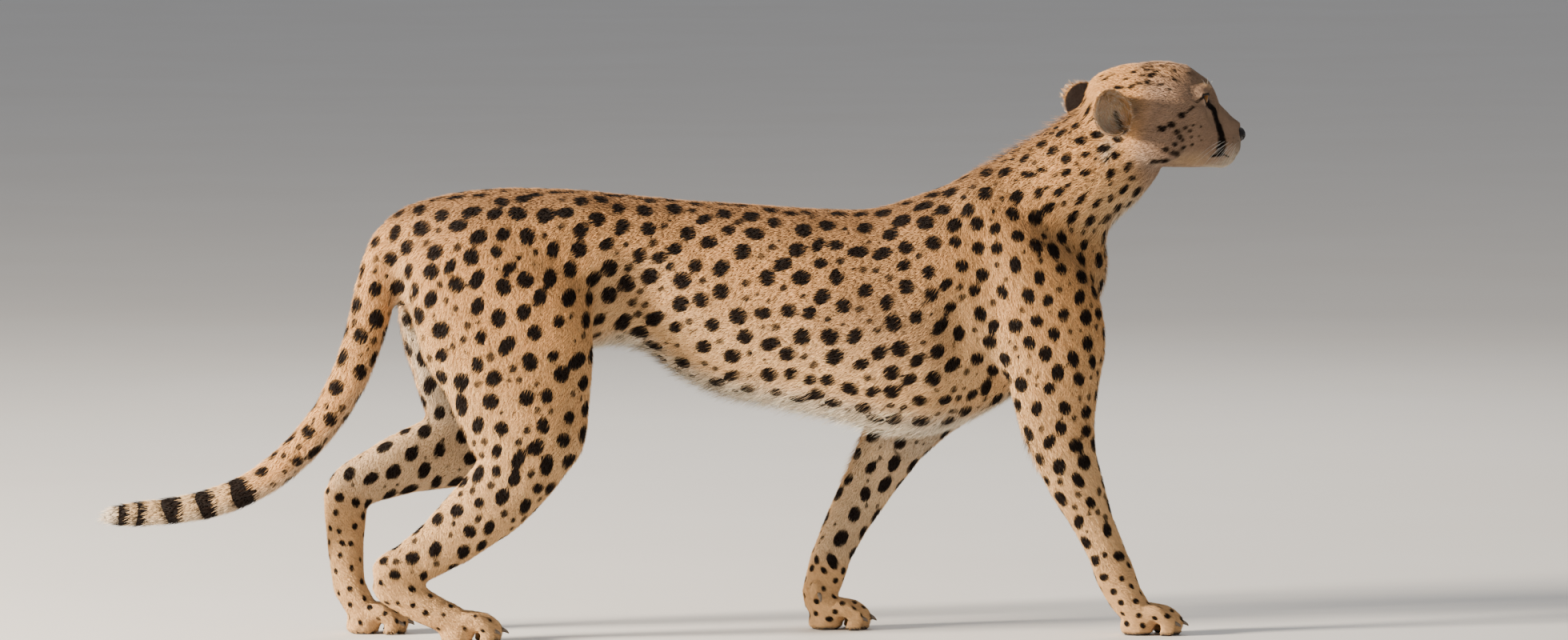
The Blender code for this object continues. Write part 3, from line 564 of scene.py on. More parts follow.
def sculpt_face(points, triangles):
    """The mouth's line, the groove under the nose, and the swellings and hollows of the face."""
    normals = normals_of(points, triangles)
    h = to_head(points)
    s = sided(h)
    off, along = to_line(s, laid(MOUTH, surface_of(points, triangles), 4))
    deep = -0.0028 * ramp(off, 0.0026, 0.0) * (1 - 0.4 * along)
    lip = 0.0007 * ramp(np.abs(off - 0.0042), 0.003, 0.0)
    groove = -0.0016 * ramp(s[:, 1], 0.0022, 0.0) * ramp(h[:, 0], 0.056, 0.062)
    groove = groove * ramp(h[:, 2], -0.066, -0.060) * ramp(h[:, 2], -0.044, -0.050)
    move = deep + lip + groove
    for height, middle, reach in FACE_FORMS:
        move = move + height * bump(s, middle, reach)
    reached = (h[:, 0] > -0.06) & (h[:, 2] > -0.12) & (s[:, 1] < 0.07)
    points = points + normals * (move * reached)[:, None]
    # the skin runs in under the nose leather and meets its edge in a crease
    h = to_head(points)
    off, far = (h - LEATHER_AT) / LEATHER, leather_reach(h)
    deep = 0.80 + (far - 0.80) * ramp(far, 0.98, 1.35)
    closer = (far < 1.35) & (far > 1e-6) & (deep < far)
    sunk = LEATHER_AT + off / np.maximum(far, 1e-6)[:, None] * deep[:, None] * LEATHER
    return from_head(np.where(closer[:, None], sunk, h))


def main_skin():
    """The finished skin, with each vertex's node."""
    skin = rough_skin()
    divided(skin, face_zone)
    mesh = skin.data
    points = points_of(mesh)
    set_points(mesh, eased(points, edges_of(mesh), 3, face_zone(points) * 0.5))
    divided(skin, feature_zone)
    points = points_of(mesh)
    points = eased(points, edges_of(mesh), 3, feature_zone(points) * 0.5)

    triangles, edges = triangles_of(mesh), edges_of(mesh)
    distance, owner = nearest(points)
    depth = by_node(lambda n: coat_of(n)[0], owner)
    h = to_head(points)
    face = ramp(h[:, 0], -0.06, 0.0) * (np.abs(h[:, 1]) < 0.07) * (h[:, 2] > -0.13) * (h[:, 0] > -0.07)
    depth = depth * (1 - 0.55 * face)
    depth = eased(depth, edges, 10)
    normals = normals_of(points, triangles)
    move = eased(np.clip(-depth - distance, -0.006, 0.004), edges, 14)
    move = np.where(by_node(lambda n: n.startswith("ear"), owner), -depth, move)
    to_eye = np.minimum(*(np.linalg.norm(points - eye, axis=1) for eye in (EYE_LEFT, EYE_RIGHT)))
    over_eye = ramp(to_eye - EYE_RADIUS, 0.001, 0.007)
    move = eased(move, edges, 2) * over_eye
    sole = ramp(points[:, 2], 0.010, 0.003)
    move = move * (1 - sole * (normals[:, 2] < 0))
    points = points + normals * move[:, None]
    distance, owner = nearest(points)
    keep = np.minimum(-0.0004 - distance, 0)
    points = points + normals * (over_eye * eased(np.where(sole > 0.5, 0, keep), edges, 2))[:, None]
    points[:, 2] = np.maximum(points[:, 2], 0.0)
    flat = points[:, 2] < 0.0012
    points[:, 2] = np.where(flat & (sole > 0.9), 0.0, points[:, 2])

    points = sculpt_face(points, triangles)
    points = sculpt_eyes(points)
    set_points(mesh, points)
    shade_smooth(mesh)
    return skin, points, triangles, edges, owner


SKIN, POINTS, TRIANGLES, EDGES, OWNER = main_skin()
NORMALS = normals_of(POINTS, TRIANGLES)
print("skin", len(POINTS), "vertices", len(TRIANGLES), "triangles")


# ---------------------------------------------------------------- fields over the skin

def region(*words):
    """How much of each word's nodes a vertex belongs to, softened across the seams."""
    return eased(by_node(lambda n: float(any(w in n for w in words)), OWNER), EDGES, 10)


def between(a, b):
    return unit(centre(b) - centre(a))


def lie_of(name):
    """The way the coat lies on a node, before it is laid along the surface."""
    side = "left" if "left" in name else "right"
    if name == "neck":
        return unit((-0.80, 0, -0.42))
    if name == "head":
        return -HEAD_AXES[0]
    if name.startswith("ear"):
        out = 1 if side == "left" else -1
        return unit(np.array((-0.86, out * 0.30, 0.36)) @ HEAD_AXES)
    if name.startswith("tail"):
        k = int(name[-1])
        return between(f"tail_{max(k - 1, 1)}", f"tail_{min(k + 1, 4)}")
    if name.startswith("foreleg"):
        if name.endswith("upper"):
            return unit(between(name, f"foreleg_{side}_forearm") + np.array((-0.25, 0, 0)))
        if name.endswith("forearm"):
            return between(f"foreleg_{side}_upper", f"foreleg_{side}_paw")
        return unit((0.9, 0, -0.45))
    if name.startswith("hindleg"):
        if name.endswith("thigh"):
            return unit((-0.45, 0, -1.0))
        if name.endswith("shank"):
            return between(f"hindleg_{side}_thigh", f"hindleg_{side}_foot")
        low, high = corner(name)
        return unit((0.75, 0, -0.65 * (high[2] - low[2]) / 0.11))
    if name == "rump":
        return unit((-1.0, 0, -0.60))
    return unit((-1.0, 0, -0.50))


def lay(field, normals):
    return unit(field - normals * (field * normals).sum(axis=1, keepdims=True))


HEAD_POINTS = to_head(POINTS)
FOLDED = sided(HEAD_POINTS)
HEAD_SHARE = region("head")
EAR_SHARE = region("ear_")
TRUNK_SHARE = region("chest", "loin", "rump")
NECK_SHARE = region("neck")
TAIL_SHARE = region("tail")
UPPER_SHARE = region("upper", "thigh")
LOWER_SHARE = region("forearm", "shank")
FOOT_SHARE = region("paw", "foot")
FACE = HEAD_SHARE * ramp(HEAD_POINTS[:, 0], -0.055, -0.005)


def fur_field():
    field = by_node(lie_of, OWNER)
    # On the cheeks and the jaw the coat turns down and back; on the muzzle it runs back from the nose.
    down = HEAD_SHARE * ramp(HEAD_POINTS[:, 2], 0.01, -0.06) * ramp(HEAD_POINTS[:, 0], 0.05, -0.02)
    field = field - (0.75 * down)[:, None] * HEAD_AXES[2]
    # Over the brow and the forehead it sweeps up and back.
    brow = HEAD_SHARE * ramp(HEAD_POINTS[:, 2], 0.004, 0.018) * ramp(HEAD_POINTS[:, 0], -0.050, -0.015)
    field = field + (0.60 * brow)[:, None] * HEAD_AXES[2]
    field = eased(field, EDGES, 30)
    return lay(field, NORMALS)


FIELD = fur_field()


def tail_place():
    """How far down the tail each vertex lies, 0 at the root and 1 at the tip."""
    line = [centre(f"tail_{k}") for k in range(1, 5)]
    low, high = corner("tail_4")
    root = np.array((corner("tail_1")[1][0], 0, corner("tail_1")[1][2]))
    tip = np.array((low[0], (low[1] + high[1]) / 2, (low[2] + high[2]) / 2))
    return to_line(POINTS, np.array([root] + line + [tip]))[1]


TAIL_ALONG = tail_place()
TAIL_LENGTH = 0.68
# Dark rings at the tail's end: how far down the tail, and half width.
TAIL_RINGS = ((0.400, 0.012), (0.452, 0.013), (0.503, 0.014), (0.556, 0.015), (0.610, 0.017))


def ears():
    """For each ear: its node, its side, the way its hollow faces, and its vertices."""
    for name, out in (("ear_left", 1), ("ear_right", -1)):
        facing = unit(np.array((0.42, out * 0.88, 0.10)) @ HEAD_AXES)
        yield name, out, facing, by_node(lambda n: n == name, OWNER)


def ear_inside():
    """1 on the hollow side of the ears."""
    total = np.zeros(len(POINTS))
    for _, _, facing, here in ears():
        total += here * ramp(NORMALS @ facing, -0.15, 0.35)
    return eased(total, EDGES, 2)


EAR_INSIDE = ear_inside()


def ear_places():
    """How close to the rim of its ear each vertex lies, 1 at the rim, and its place from the ear's middle,
    in the head's frame folded to the left."""
    rim = np.zeros(len(POINTS))
    place = np.full((len(POINTS), 3), 9.0)
    for name, out, facing, here in ears():
        rise = (POINTS - centre(name)) @ facing
        top = rise[here].max()
        rim += here * ramp(rise, top - 0.009, top - 0.002)
        local = (HEAD_POINTS - to_head(centre(name))) * np.array((1, out, 1))
        close = np.linalg.norm(local, axis=1) < np.linalg.norm(place, axis=1)
        place = np.where(close[:, None], local, place)
    return rim, place


EAR_RIM, EAR_PLACE = ear_places()
CANAL_LINE = np.array(((0.015, 0, -0.004), (0.026, 0, -0.026)))     # the painted shade of the ear's canal
PAINTED_CANAL_SHADE = ramp(to_line(EAR_PLACE * (1, 0, 1), CANAL_LINE)[0], 0.0062, 0.0022)
PAINTED_CANAL_SHADE = PAINTED_CANAL_SHADE * (np.linalg.norm(EAR_PLACE, axis=1) < 0.045)


RIBS = np.array((-0.125, 0.0, -0.030))     # the middle of the ribs, where the trunk's painted shade is deepest, from the middle of the chest


def base_colour():
    """The ground colour: tan above, paler on the sides, white below and inside the legs; some shade and
    light is painted in.
    """
    _, y, z = POINTS.T
    up = NORMALS[:, 2]
    colour = np.tile(TAN, (len(POINTS), 1))

    def tint(tone, share):
        nonlocal colour
        colour = mix(colour, tone, share)

    trunk = TRUNK_SHARE + NECK_SHARE + UPPER_SHARE
    height = ramp(up, 0.15, 0.92)
    tint(BACK, 0.85 * height * np.clip(trunk, 0, 1))
    # sides pale downwards
    tint(CREAM, 0.55 * ramp(up, 0.25, -0.35) * np.clip(trunk, 0, 1))
    # the trunk is deeper and greyer in tone than the legs, most of all over the ribs: partly its own darker
    # saddle, partly painted shade
    painted_rib_shade = bump(POINTS, centre("chest") + RIBS, (0.165, 0.30, 0.180))
    saddle_and_painted_shade = TRUNK_SHARE * ramp(up, -0.50, 0.15) * (0.38 + 0.62 * painted_rib_shade)
    colour = colour * (1 - saddle_and_painted_shade[:, None] * np.array((0.45, 0.42, 0.31)))
    belly = ramp(up, -0.45, -0.85) * TRUNK_SHARE
    tint(WHITE, belly)
    # inner sides of the legs: their own whitish colour, dimmed with painted shade
    inner = ramp(-NORMALS[:, 1] * np.sign(y), 0.1, 0.7) * np.clip(UPPER_SHARE + LOWER_SHARE, 0, 1)
    tint(WHITE * 0.64, 0.75 * inner * ramp(z, 0.60, 0.45))
    tint(CREAM, 0.55 * LOWER_SHARE)
    tint(CREAM, 0.45 * FOOT_SHARE)
    # throat and underside of the neck
    throat = ramp(up, -0.30, -0.85) * np.clip(NECK_SHARE + HEAD_SHARE, 0, 1)
    tint(WHITE * 0.9, 0.8 * throat)
    # head: greyer forehead and cheeks, white muzzle and chin
    f = FOLDED
    tint(GREY_TAN, 0.85 * HEAD_SHARE * ramp(f[:, 0], -0.130, -0.085))
    crown = bump(f, (-0.080, 0.030, 0.040), (0.060, 0.040, 0.034)) * HEAD_SHARE
    tint(TAN, 0.55 * crown)
    muzzle = bump(f, (0.056, 0.012, -0.066), (0.026, 0.030, 0.030))
    chin = bump(f, (0.045, 0.0, -0.092), (0.040, 0.034, 0.022))
    pale = np.clip(1.4 * muzzle + 1.2 * chin, 0, 1)
    tint(WHITE * 0.85, 0.85 * pale * HEAD_SHARE)
    jaw = bump(f, (-0.010, 0.030, -0.085), (0.060, 0.040, 0.026))
    tint(CREAM * 0.85, 0.5 * jaw * HEAD_SHARE)
    under_eye = bump(f, (0.004, 0.047, -0.016), (0.020, 0.018, 0.012))
    over_eye = bump(f, (-0.006, 0.036, 0.026), (0.022, 0.018, 0.010))
    tint(CREAM, np.clip(0.15 * under_eye + 0.5 * over_eye, 0, 1) * HEAD_SHARE)
    bridge = bump(f, (0.040, 0.0, -0.018), (0.035, 0.016, 0.018))
    tint(GREY_TAN * 0.9, 0.6 * bridge * HEAD_SHARE)
    # ears: dark behind with a tawny rim, brown and pale hair within; the brown within is brightened with
    # painted light
    ear = EAR_SHARE
    forward = EAR_PLACE[:, 0]
    back_dark = ear * (1 - EAR_INSIDE) * ramp(EAR_RIM, 0.9, 0.3) * ramp(forward, 0.020, 0.008)
    tint(BLACK * 2.6, np.clip(1.15 * back_dark, 0, 1))
    tint(EAR_BROWN_AND_PAINTED_GLOW, ear * EAR_INSIDE)
    golden = ear * EAR_INSIDE * ramp(EAR_PLACE[:, 2] + 0.35 * forward, 0.006, 0.016)
    tint(TAN * 0.8, 0.75 * golden)
    tint(TAN * 1.05, ear * ramp(EAR_RIM, 0.35, 0.9) * ramp(forward, 0.020, 0.0))
    # darker grey before the ear's front edge: partly the temple's own darker hair, partly painted shade
    around = bump(EAR_PLACE, (0.035, 0.0, 0.006), (0.021, 0.05, 0.028)) * HEAD_SHARE
    tint(GREY_TAN * 0.55, np.clip(1.2 * around, 0, 1))
    lumps = bump(EAR_PLACE, (0.030, 0.0, -0.036), (0.026, 0.05, 0.016)) * HEAD_SHARE
    tint(TAN, 0.7 * lumps)
    patch = bump(EAR_PLACE, (0.013, -0.010, -0.057), (0.014, 0.05, 0.024)) * (1 - ear)
    tint(WHITE, 0.9 * patch)
    # painted shade in the ear's canal
    tint(BLACK, 0.95 * PAINTED_CANAL_SHADE * np.clip(ear * EAR_INSIDE, 0, 1))
    # tail: white below and between the rings
    tail = TAIL_SHARE
    tint(CREAM * 0.68, tail * ramp(TAIL_ALONG, 0.50, 0.68))
    white_tail = np.clip(ramp(up, 0.0, -0.7) * 0.6 + ramp(TAIL_ALONG, 0.90, 0.96), 0, 1)
    tint(WHITE * 0.68, 0.85 * tail * white_tail)
    # slow mottling
    mottle = 1 + 0.06 * wobble(POINTS, 0.035, 3) + 0.04 * wobble(POINTS, 0.012, 5)
    return np.clip(colour * mottle[:, None], 0, 1)


BASE = base_colour()


# ---------------------------------------------------------------- markings

def spot_plan():
    """The spots at each vertex: half width, spacing, and how much longer than wide they are."""
    half = np.full(len(POINTS), 0.0119)
    apart = np.full(len(POINTS), 0.0260)
    long = np.full(len(POINTS), 1.10)
    spine = TRUNK_SHARE * ramp(NORMALS[:, 2], 0.80, 0.97)
    chest = TRUNK_SHARE * ramp(POINTS[:, 0], corner("chest")[0][0] + 0.10, corner("chest")[1][0] - 0.05)
    front = np.clip(chest + region("upper"), 0, 1) * (1 - spine)
    for share, width, gap, drawn in (
        (spine, 0.0094, 0.0222, 1.60),
        (front, 0.0106, 0.0240, None),
        (NECK_SHARE, 0.0078, 0.0208, 1.45),
        (region("thigh"), 0.0119, 0.0272, None),
        (region("forearm"), 0.0104, 0.0258, None),
        (region("shank"), 0.0108, 0.0270, None),
        (FOOT_SHARE, 0.0045, 0.0180, None),
        (HEAD_SHARE, 0.0040, 0.0150, 1.9),
        (TAIL_SHARE, 0.0118, 0.0290, None),
    ):
        half, apart = mix(half, width, share), mix(apart, gap, share)
        if drawn:
            long = mix(long, drawn, share)
    return half, apart, long


SPOT_TRIES = 60000           # places tried for the large spots
DOT_TRIES = 24000            # places tried for each kind of dot
SPOT_CELL = 0.02             # cell of the grid that keeps them apart


def relaxed(made, free):
    """The spots moved to the middles of the skin around them, so that they lie more evenly."""
    vertices = np.array([m[0] for m in made])
    ground = tree_of(POINTS[free])
    every = free[::3]
    for _ in range(2):
        tree = tree_of(POINTS[vertices])
        near = np.array([tree.find(p)[1] for p in POINTS[every].tolist()])
        count = np.bincount(near, minlength=len(made)).clip(1)
        middles = np.column_stack([np.bincount(near, POINTS[every, k], len(made)) for k in range(3)])
        middles = POINTS[vertices] + 0.8 * (middles / count[:, None] - POINTS[vertices])
        vertices = np.array([free[ground.find(p)[1]] for p in middles.tolist()])
    moved = [(int(v), *m[1:]) for v, m in zip(vertices, made)]
    tree = tree_of(POINTS[vertices])
    gone = set()
    for i, (v, size, _, _) in enumerate(moved):
        for _, j, far in tree.find_range(POINTS[v], 2.6 * size):
            if j > i and i not in gone and far < 1.12 * (size + moved[j][1]):
                gone.add(j)
    return [m for i, m in enumerate(moved) if i not in gone]


def spots():
    """Each spot's vertex, half width, stretch and ink: large ones no closer than the plan's spacing, then
    small dots in the gaps."""
    half, apart, long = spot_plan()
    up = NORMALS[:, 2]
    bare = (EAR_SHARE > 0.3) | (FACE > 0.25) | ((TAIL_SHARE > 0.5) & (TAIL_ALONG > 0.55))
    bare |= (TRUNK_SHARE > 0.5) & (up < -0.80)
    bare |= POINTS[:, 2] < 0.012
    bare |= (HEAD_SHARE > 0.5) & ((HEAD_POINTS[:, 0] > -0.060) | (NORMALS @ HEAD_AXES[2] < 0.45))
    inner = (-NORMALS[:, 1] * np.sign(POINTS[:, 1]) > 0.45) & ((UPPER_SHARE + LOWER_SHARE) > 0.6)
    order = RNG.permutation(len(POINTS))[:SPOT_TRIES]
    made = []
    grid = {}

    def cell(p):
        return tuple(int(math.floor(x / SPOT_CELL)) for x in p)

    def clear(p, gap):
        reach = int(math.ceil(gap / SPOT_CELL))
        for place in itertools.product(*(range(k - reach, k + reach + 1) for k in cell(p))):
            for q, other in grid.get(place, ()):
                need = (gap + other) / 2
                if (p[0] - q[0]) ** 2 + (p[1] - q[1]) ** 2 + (p[2] - q[2]) ** 2 < need * need:
                    return False
        return True

    def keep(v, gap, size, stretch, ink=1.0):
        p = POINTS[v].tolist()
        if clear(p, gap):
            grid.setdefault(cell(p), []).append((p, gap))
            made.append((v, size, stretch, ink))

    tries = RNG.random((len(order), 3))
    for v, (a, b, c) in zip(order.tolist(), tries.tolist()):
        if bare[v] or (inner[v] and a < 0.6):
            continue
        size, stretch = half[v] * (0.78 + 0.37 * c ** 0.6), long[v] * (0.92 + 0.70 * a * a)
        keep(v, apart[v] * (0.88 + 0.22 * b), size, stretch)
    made = relaxed(made, np.nonzero(~bare)[0])
    grid.clear()
    for v, size, _, _ in made:
        p = POINTS[v].tolist()
        grid.setdefault(cell(p), []).append((p, size * 2.4))
    large = len(made)
    bare |= (HEAD_SHARE >= 0.3) | (FOOT_SHARE >= 0.3)
    tries = tries[:DOT_TRIES].tolist()
    # middling dots off the inner legs, then the smallest: places, where none lie, least chance, spacing,
    # and the two parts of their size and of their ink
    for places, none, chance, gap, size, more_size, ink, more_ink in (
        (order[::-1], bare | inner, 0.0, 1.35, 0.38, 0.20, 0.88, 0.12),
        (order, bare, 0.6, 0.95, 0.19, 0.12, 0.85, 0.15),
    ):
        for v, (a, b, c) in zip(places[:DOT_TRIES].tolist(), tries):
            if not none[v] and c > chance:
                keep(v, half[v] * gap, half[v] * (size + more_size * b), 1.2, ink + more_ink * a)
    print("spots", large, "and dots", len(made) - large)
    return made


def turned(along, across, angle):
    return along * np.cos(angle)[:, None] + across * np.sin(angle)[:, None]


SPOT_VERTEX, SPOT_HALF, SPOT_LONG, SPOT_INK = (np.array(column) for column in zip(*spots()))
SPOT_AT = POINTS[SPOT_VERTEX]
SPOT_TREE = tree_of(SPOT_AT)
SPOT_NORMAL = NORMALS[SPOT_VERTEX]
SPOT_ALONG = FIELD[SPOT_VERTEX]
SPOT_ALONG = turned(SPOT_ALONG, np.cross(SPOT_NORMAL, SPOT_ALONG), RNG.normal(0, 0.30, len(SPOT_VERTEX)))
SPOT_ACROSS = np.cross(SPOT_NORMAL, SPOT_ALONG)

# Dark lines of the face, on the left side: the tear line from the inner corner of the eye to the corner of
# the mouth, the line back from the outer corner, the corner of the mouth itself, and a painted shadow of
# the crease that runs down from under the ear. Each has a half width at either end.
FACE_LINES = (
    (((-0.001, 0.0325, -0.004), (0.010, 0.0285, -0.014), (0.0215, 0.0275, -0.030), (0.0300, 0.0285, -0.046),
      (0.0330, 0.0285, -0.060), (0.0325, 0.0290, -0.070)), 0.0062, 0.0066),
    (((-0.0200, 0.0530, 0.006), (-0.027, 0.0555, 0.000)), 0.0026, 0.0020),
    (((-0.032, 0.0575, -0.008), (-0.041, 0.0590, -0.017)), 0.0025, 0.0021),
    (((0.0345, 0.0300, -0.069), (0.0250, 0.0330, -0.078)), 0.0048, 0.0030),
    (((0.0660, 0.0020, -0.0610), (0.0600, 0.0130, -0.0685), (0.0430, 0.0240, -0.0690),
      (0.0335, 0.0275, -0.0680)), 0.0013, 0.0026),
    # painted shadow of the crease under the ear
    (((-0.1795, 0.0720, -0.047), (-0.1600, 0.0690, -0.062), (-0.1410, 0.0650, -0.076)), 0.0010, 0.0020),
)
# Rows of cheek spots fan back from the corner of the mouth: first and last place, count, half widths.
CHEEK_ROWS = (
    ((-0.047, 0.058, -0.024), (-0.074, 0.060, -0.048), 3, 0.0042, 0.0048),
    ((-0.026, 0.053, -0.032), (-0.049, 0.057, -0.047), 3, 0.0019, 0.0040),
    ((-0.014, 0.050, -0.035), (-0.042, 0.056, -0.052), 3, 0.0015, 0.0034),
    ((-0.012, 0.048, -0.045), (-0.062, 0.056, -0.072), 5, 0.0014, 0.0040),
    ((-0.004, 0.044, -0.053), (-0.050, 0.054, -0.078), 4, 0.0011, 0.0040),
    ((-0.017, 0.046, -0.060), (-0.058, 0.050, -0.088), 4, 0.0017, 0.0050),
    ((-0.040, 0.050, -0.082), (-0.072, 0.050, -0.096), 3, 0.0030, 0.0048),
)
# Rows of small dots over the brow and the crown: first and last place, count, half width.
BROW_ROWS = (
    ((-0.024, 0.006, 0.045), (-0.100, 0.005, 0.045), 9, 0.0024),
    ((-0.030, 0.017, 0.043), (-0.104, 0.017, 0.045), 8, 0.0028),
    ((-0.036, 0.028, 0.038), (-0.106, 0.030, 0.041), 8, 0.0031),
    ((-0.054, 0.038, 0.032), (-0.112, 0.042, 0.035), 6, 0.0034),
    ((-0.080, 0.050, 0.022), (-0.108, 0.051, 0.026), 3, 0.0030),
)


WHISKER_GRID = list(itertools.product(range(3), range(5)))       # rows, and places in a row


def row_of(first, last, count, scatter):
    """Places from first to last, each a little off, with how far along the row they are."""
    for k in range(count):
        t = k / (count - 1)
        yield t, np.array(first) * (1 - t) + np.array(last) * t + RNG.normal(0, scatter, 3)


def face_marks():
    """Marks of the head as discs: place, half width and stretch. Each side is a little different."""
    made = []
    for side in (1, -1):
        flip = np.array((1, side, 1))
        for first, last, count, small, big in CHEEK_ROWS:
            for t, place in row_of(first, last, count, 0.0011):
                made.append((place * flip, 1.3 * (small * (1 - t) + big * t), 1.35))
        for first, last, count, half in BROW_ROWS:
            for t, place in row_of(first, last, count, 0.0016):
                made.append((place * flip, half * (0.75 + 0.5 * t) * RNG.uniform(0.75, 1.25), 1.5))
        # the whiskers' roots
        for row, k in WHISKER_GRID:
            low = -0.0515 - 0.0048 * row + 0.0007 * k
            made.append((np.array((0.059 - 0.0055 * k, 0.0185 + 0.0016 * k, low)) * flip, 0.00085, 1.0))
    return made


def on_surface():
    """The head's lines and marks, laid on the finished skin."""
    surface = surface_of(POINTS, TRIANGLES)
    lines = [(laid(line, surface, 5), first, last) for line, first, last in FACE_LINES]
    marks = []
    for place, half, stretch in face_marks():
        hit = surface.find_nearest(from_head(place).tolist())
        marks.append((to_head(np.array(hit[0])), half, stretch))
    return lines, marks, laid(MOUTH, surface, 5)


LAID_LINES, FACE_MARKS, LAID_MOUTH = on_surface()


FAR_OFF = 0.02               # stands for no dark mark near


def spot_field(points, head, tail, along_tail):
    """Signed distance to the nearest dark mark, negative inside it, and how dark that mark is."""
    best = np.full(len(points), FAR_OFF)
    ink = np.ones(len(points))
    size = np.full(len(points), 0.01)
    edge = 0.0010 * wobble(points, 0.0085, 1) + 0.0004 * wobble(points, 0.0021, 2)
    found = [SPOT_TREE.find_n(p, 2) for p in points.tolist()]
    for rank in range(2):
        index = np.array([f[rank][1] for f in found])
        gap = points - SPOT_AT[index]
        a = (gap * SPOT_ALONG[index]).sum(axis=1) / SPOT_LONG[index] ** 0.5
        b = (gap * SPOT_ACROSS[index]).sum(axis=1) * SPOT_LONG[index] ** 0.5
        c = (gap * SPOT_NORMAL[index]).sum(axis=1) * 0.5
        far = np.sqrt(a * a + b * b + c * c) - SPOT_HALF[index]
        ink = np.where(far < best, SPOT_INK[index], ink)
        size = np.where(far < best, SPOT_HALF[index], size)
        best = np.minimum(best, far)
    edge = edge * np.clip(size / 0.009, 0.12, 1)
    best = best + edge * np.clip(1 - 0.6 * head, 0.4, 1)
    # the tail's end: rings, then a white tip with a dark band before it
    where = along_tail * TAIL_LENGTH
    ring = np.full(len(points), FAR_OFF)
    for place, half in TAIL_RINGS:
        ring = np.minimum(ring, np.abs(where - place + 0.004 * wobble(points, 0.02, place * 9)) - half)
    best = np.where(tail > 0.5, np.minimum(best, ring + edge), best)
    # the face
    on = head > 0.2
    full = to_head(points[on])
    f = sided(full)
    here = best[on]
    small = 0.0005 * wobble(points[on], 0.003, 4)
    for line, first, last in LAID_LINES:
        off, along = to_line(f, line)
        here = np.minimum(here, off - (first * (1 - along) + last * along) + small)
    for place, half, stretch in FACE_MARKS:
        gap = full - place
        far = np.sqrt(gap[:, 0] ** 2 / stretch + gap[:, 1] ** 2 * 0.5 + gap[:, 2] ** 2 * stretch)
        here = np.minimum(here, far - half + 0.5 * small)
    for margin, far in round_eyes(full):
        here = np.where(far < EYE_RADIUS + 0.010, np.minimum(here, margin - 0.0031 + small), here)
    ink[on] = np.where(here < best[on], 1.0, ink[on])
    best[on] = here
    return best, ink


SPOT, INK = spot_field(POINTS, HEAD_SHARE, TAIL_SHARE, TAIL_ALONG)


# ---------------------------------------------------------------- the baking map

def charts():
    """A rectangle of the baking map for each node, sized by its girth and length. The skin is unrolled
    round each node's own long axis."""
    made = []
    for node in range(len(FLESH)):
        mine = POINTS[OWNER == node]
        middle = mine.mean(axis=0)
        _, axes = np.linalg.eigh(np.cov((mine - middle).T))
        main = axes[:, 2]
        a, b = axes[:, 1], axes[:, 0]
        off = mine - middle
        girth = 2 * math.pi * np.hypot(off @ a, off @ b).mean()
        low, high = (off @ main).min(), (off @ main).max()
        made.append([middle, main, a, b, girth, low, high])
    scale = 0.95
    while True:
        order = sorted(range(len(made)), key=lambda j: made[j][5] - made[j][6])
        x = y = row = 0.0
        places = [None] * len(made)
        for j in order:
            wide = made[j][4] * scale + CHART_GAP
            high = (made[j][6] - made[j][5]) * scale + CHART_GAP
            if x + wide > 1:
                x, y, row = 0.0, y + row, 0.0
            places[j] = (x + CHART_GAP / 2, y + CHART_GAP / 2)
            x += wide
            row = max(row, high)
        if y + row <= 1:
            return made, places, scale
        scale *= 0.97


CHARTS, CHART_AT, CHART_SCALE = charts()


def on_map(points, owner):
    """Each point's place on the baking map, by its node's chart, and the chart's girth there."""
    middle, main, a, b, girth, low = (np.array([c[k] for c in CHARTS])[owner] for k in range(6))
    off = points - middle
    turn = np.arctan2((off * b).sum(axis=1), (off * a).sum(axis=1)) / (2 * math.pi) + 0.5
    u = turn * girth * CHART_SCALE
    v = ((off * main).sum(axis=1) - low) * CHART_SCALE
    return np.column_stack((u, v)) + np.array(CHART_AT)[owner], girth * CHART_SCALE


def map_skin():
    """Unrolls the skin onto the map. A face that would cross the seam is moved to one side of it."""
    mesh = SKIN.data
    layer = mesh.uv_layers.new(name="OFBake")
    loops = read(mesh.loops, "vertex_index")
    start = read(mesh.polygons, "loop_start")
    face = np.repeat(np.arange(len(start)), read(mesh.polygons, "loop_total"))
    owner = OWNER[loops[start]][face]
    uv, girth = on_map(POINTS[loops], owner)
    first = uv[start][face]
    jump = uv[:, 0] - first[:, 0]
    uv[:, 0] -= np.where(jump > girth / 2, girth, 0)
    uv[:, 0] += np.where(jump < -girth / 2, girth, 0)
    layer.uv.foreach_set("vector", np.clip(uv, 0, 1).astype(np.float32).ravel())


map_skin()


# ---------------------------------------------------------------- the coat

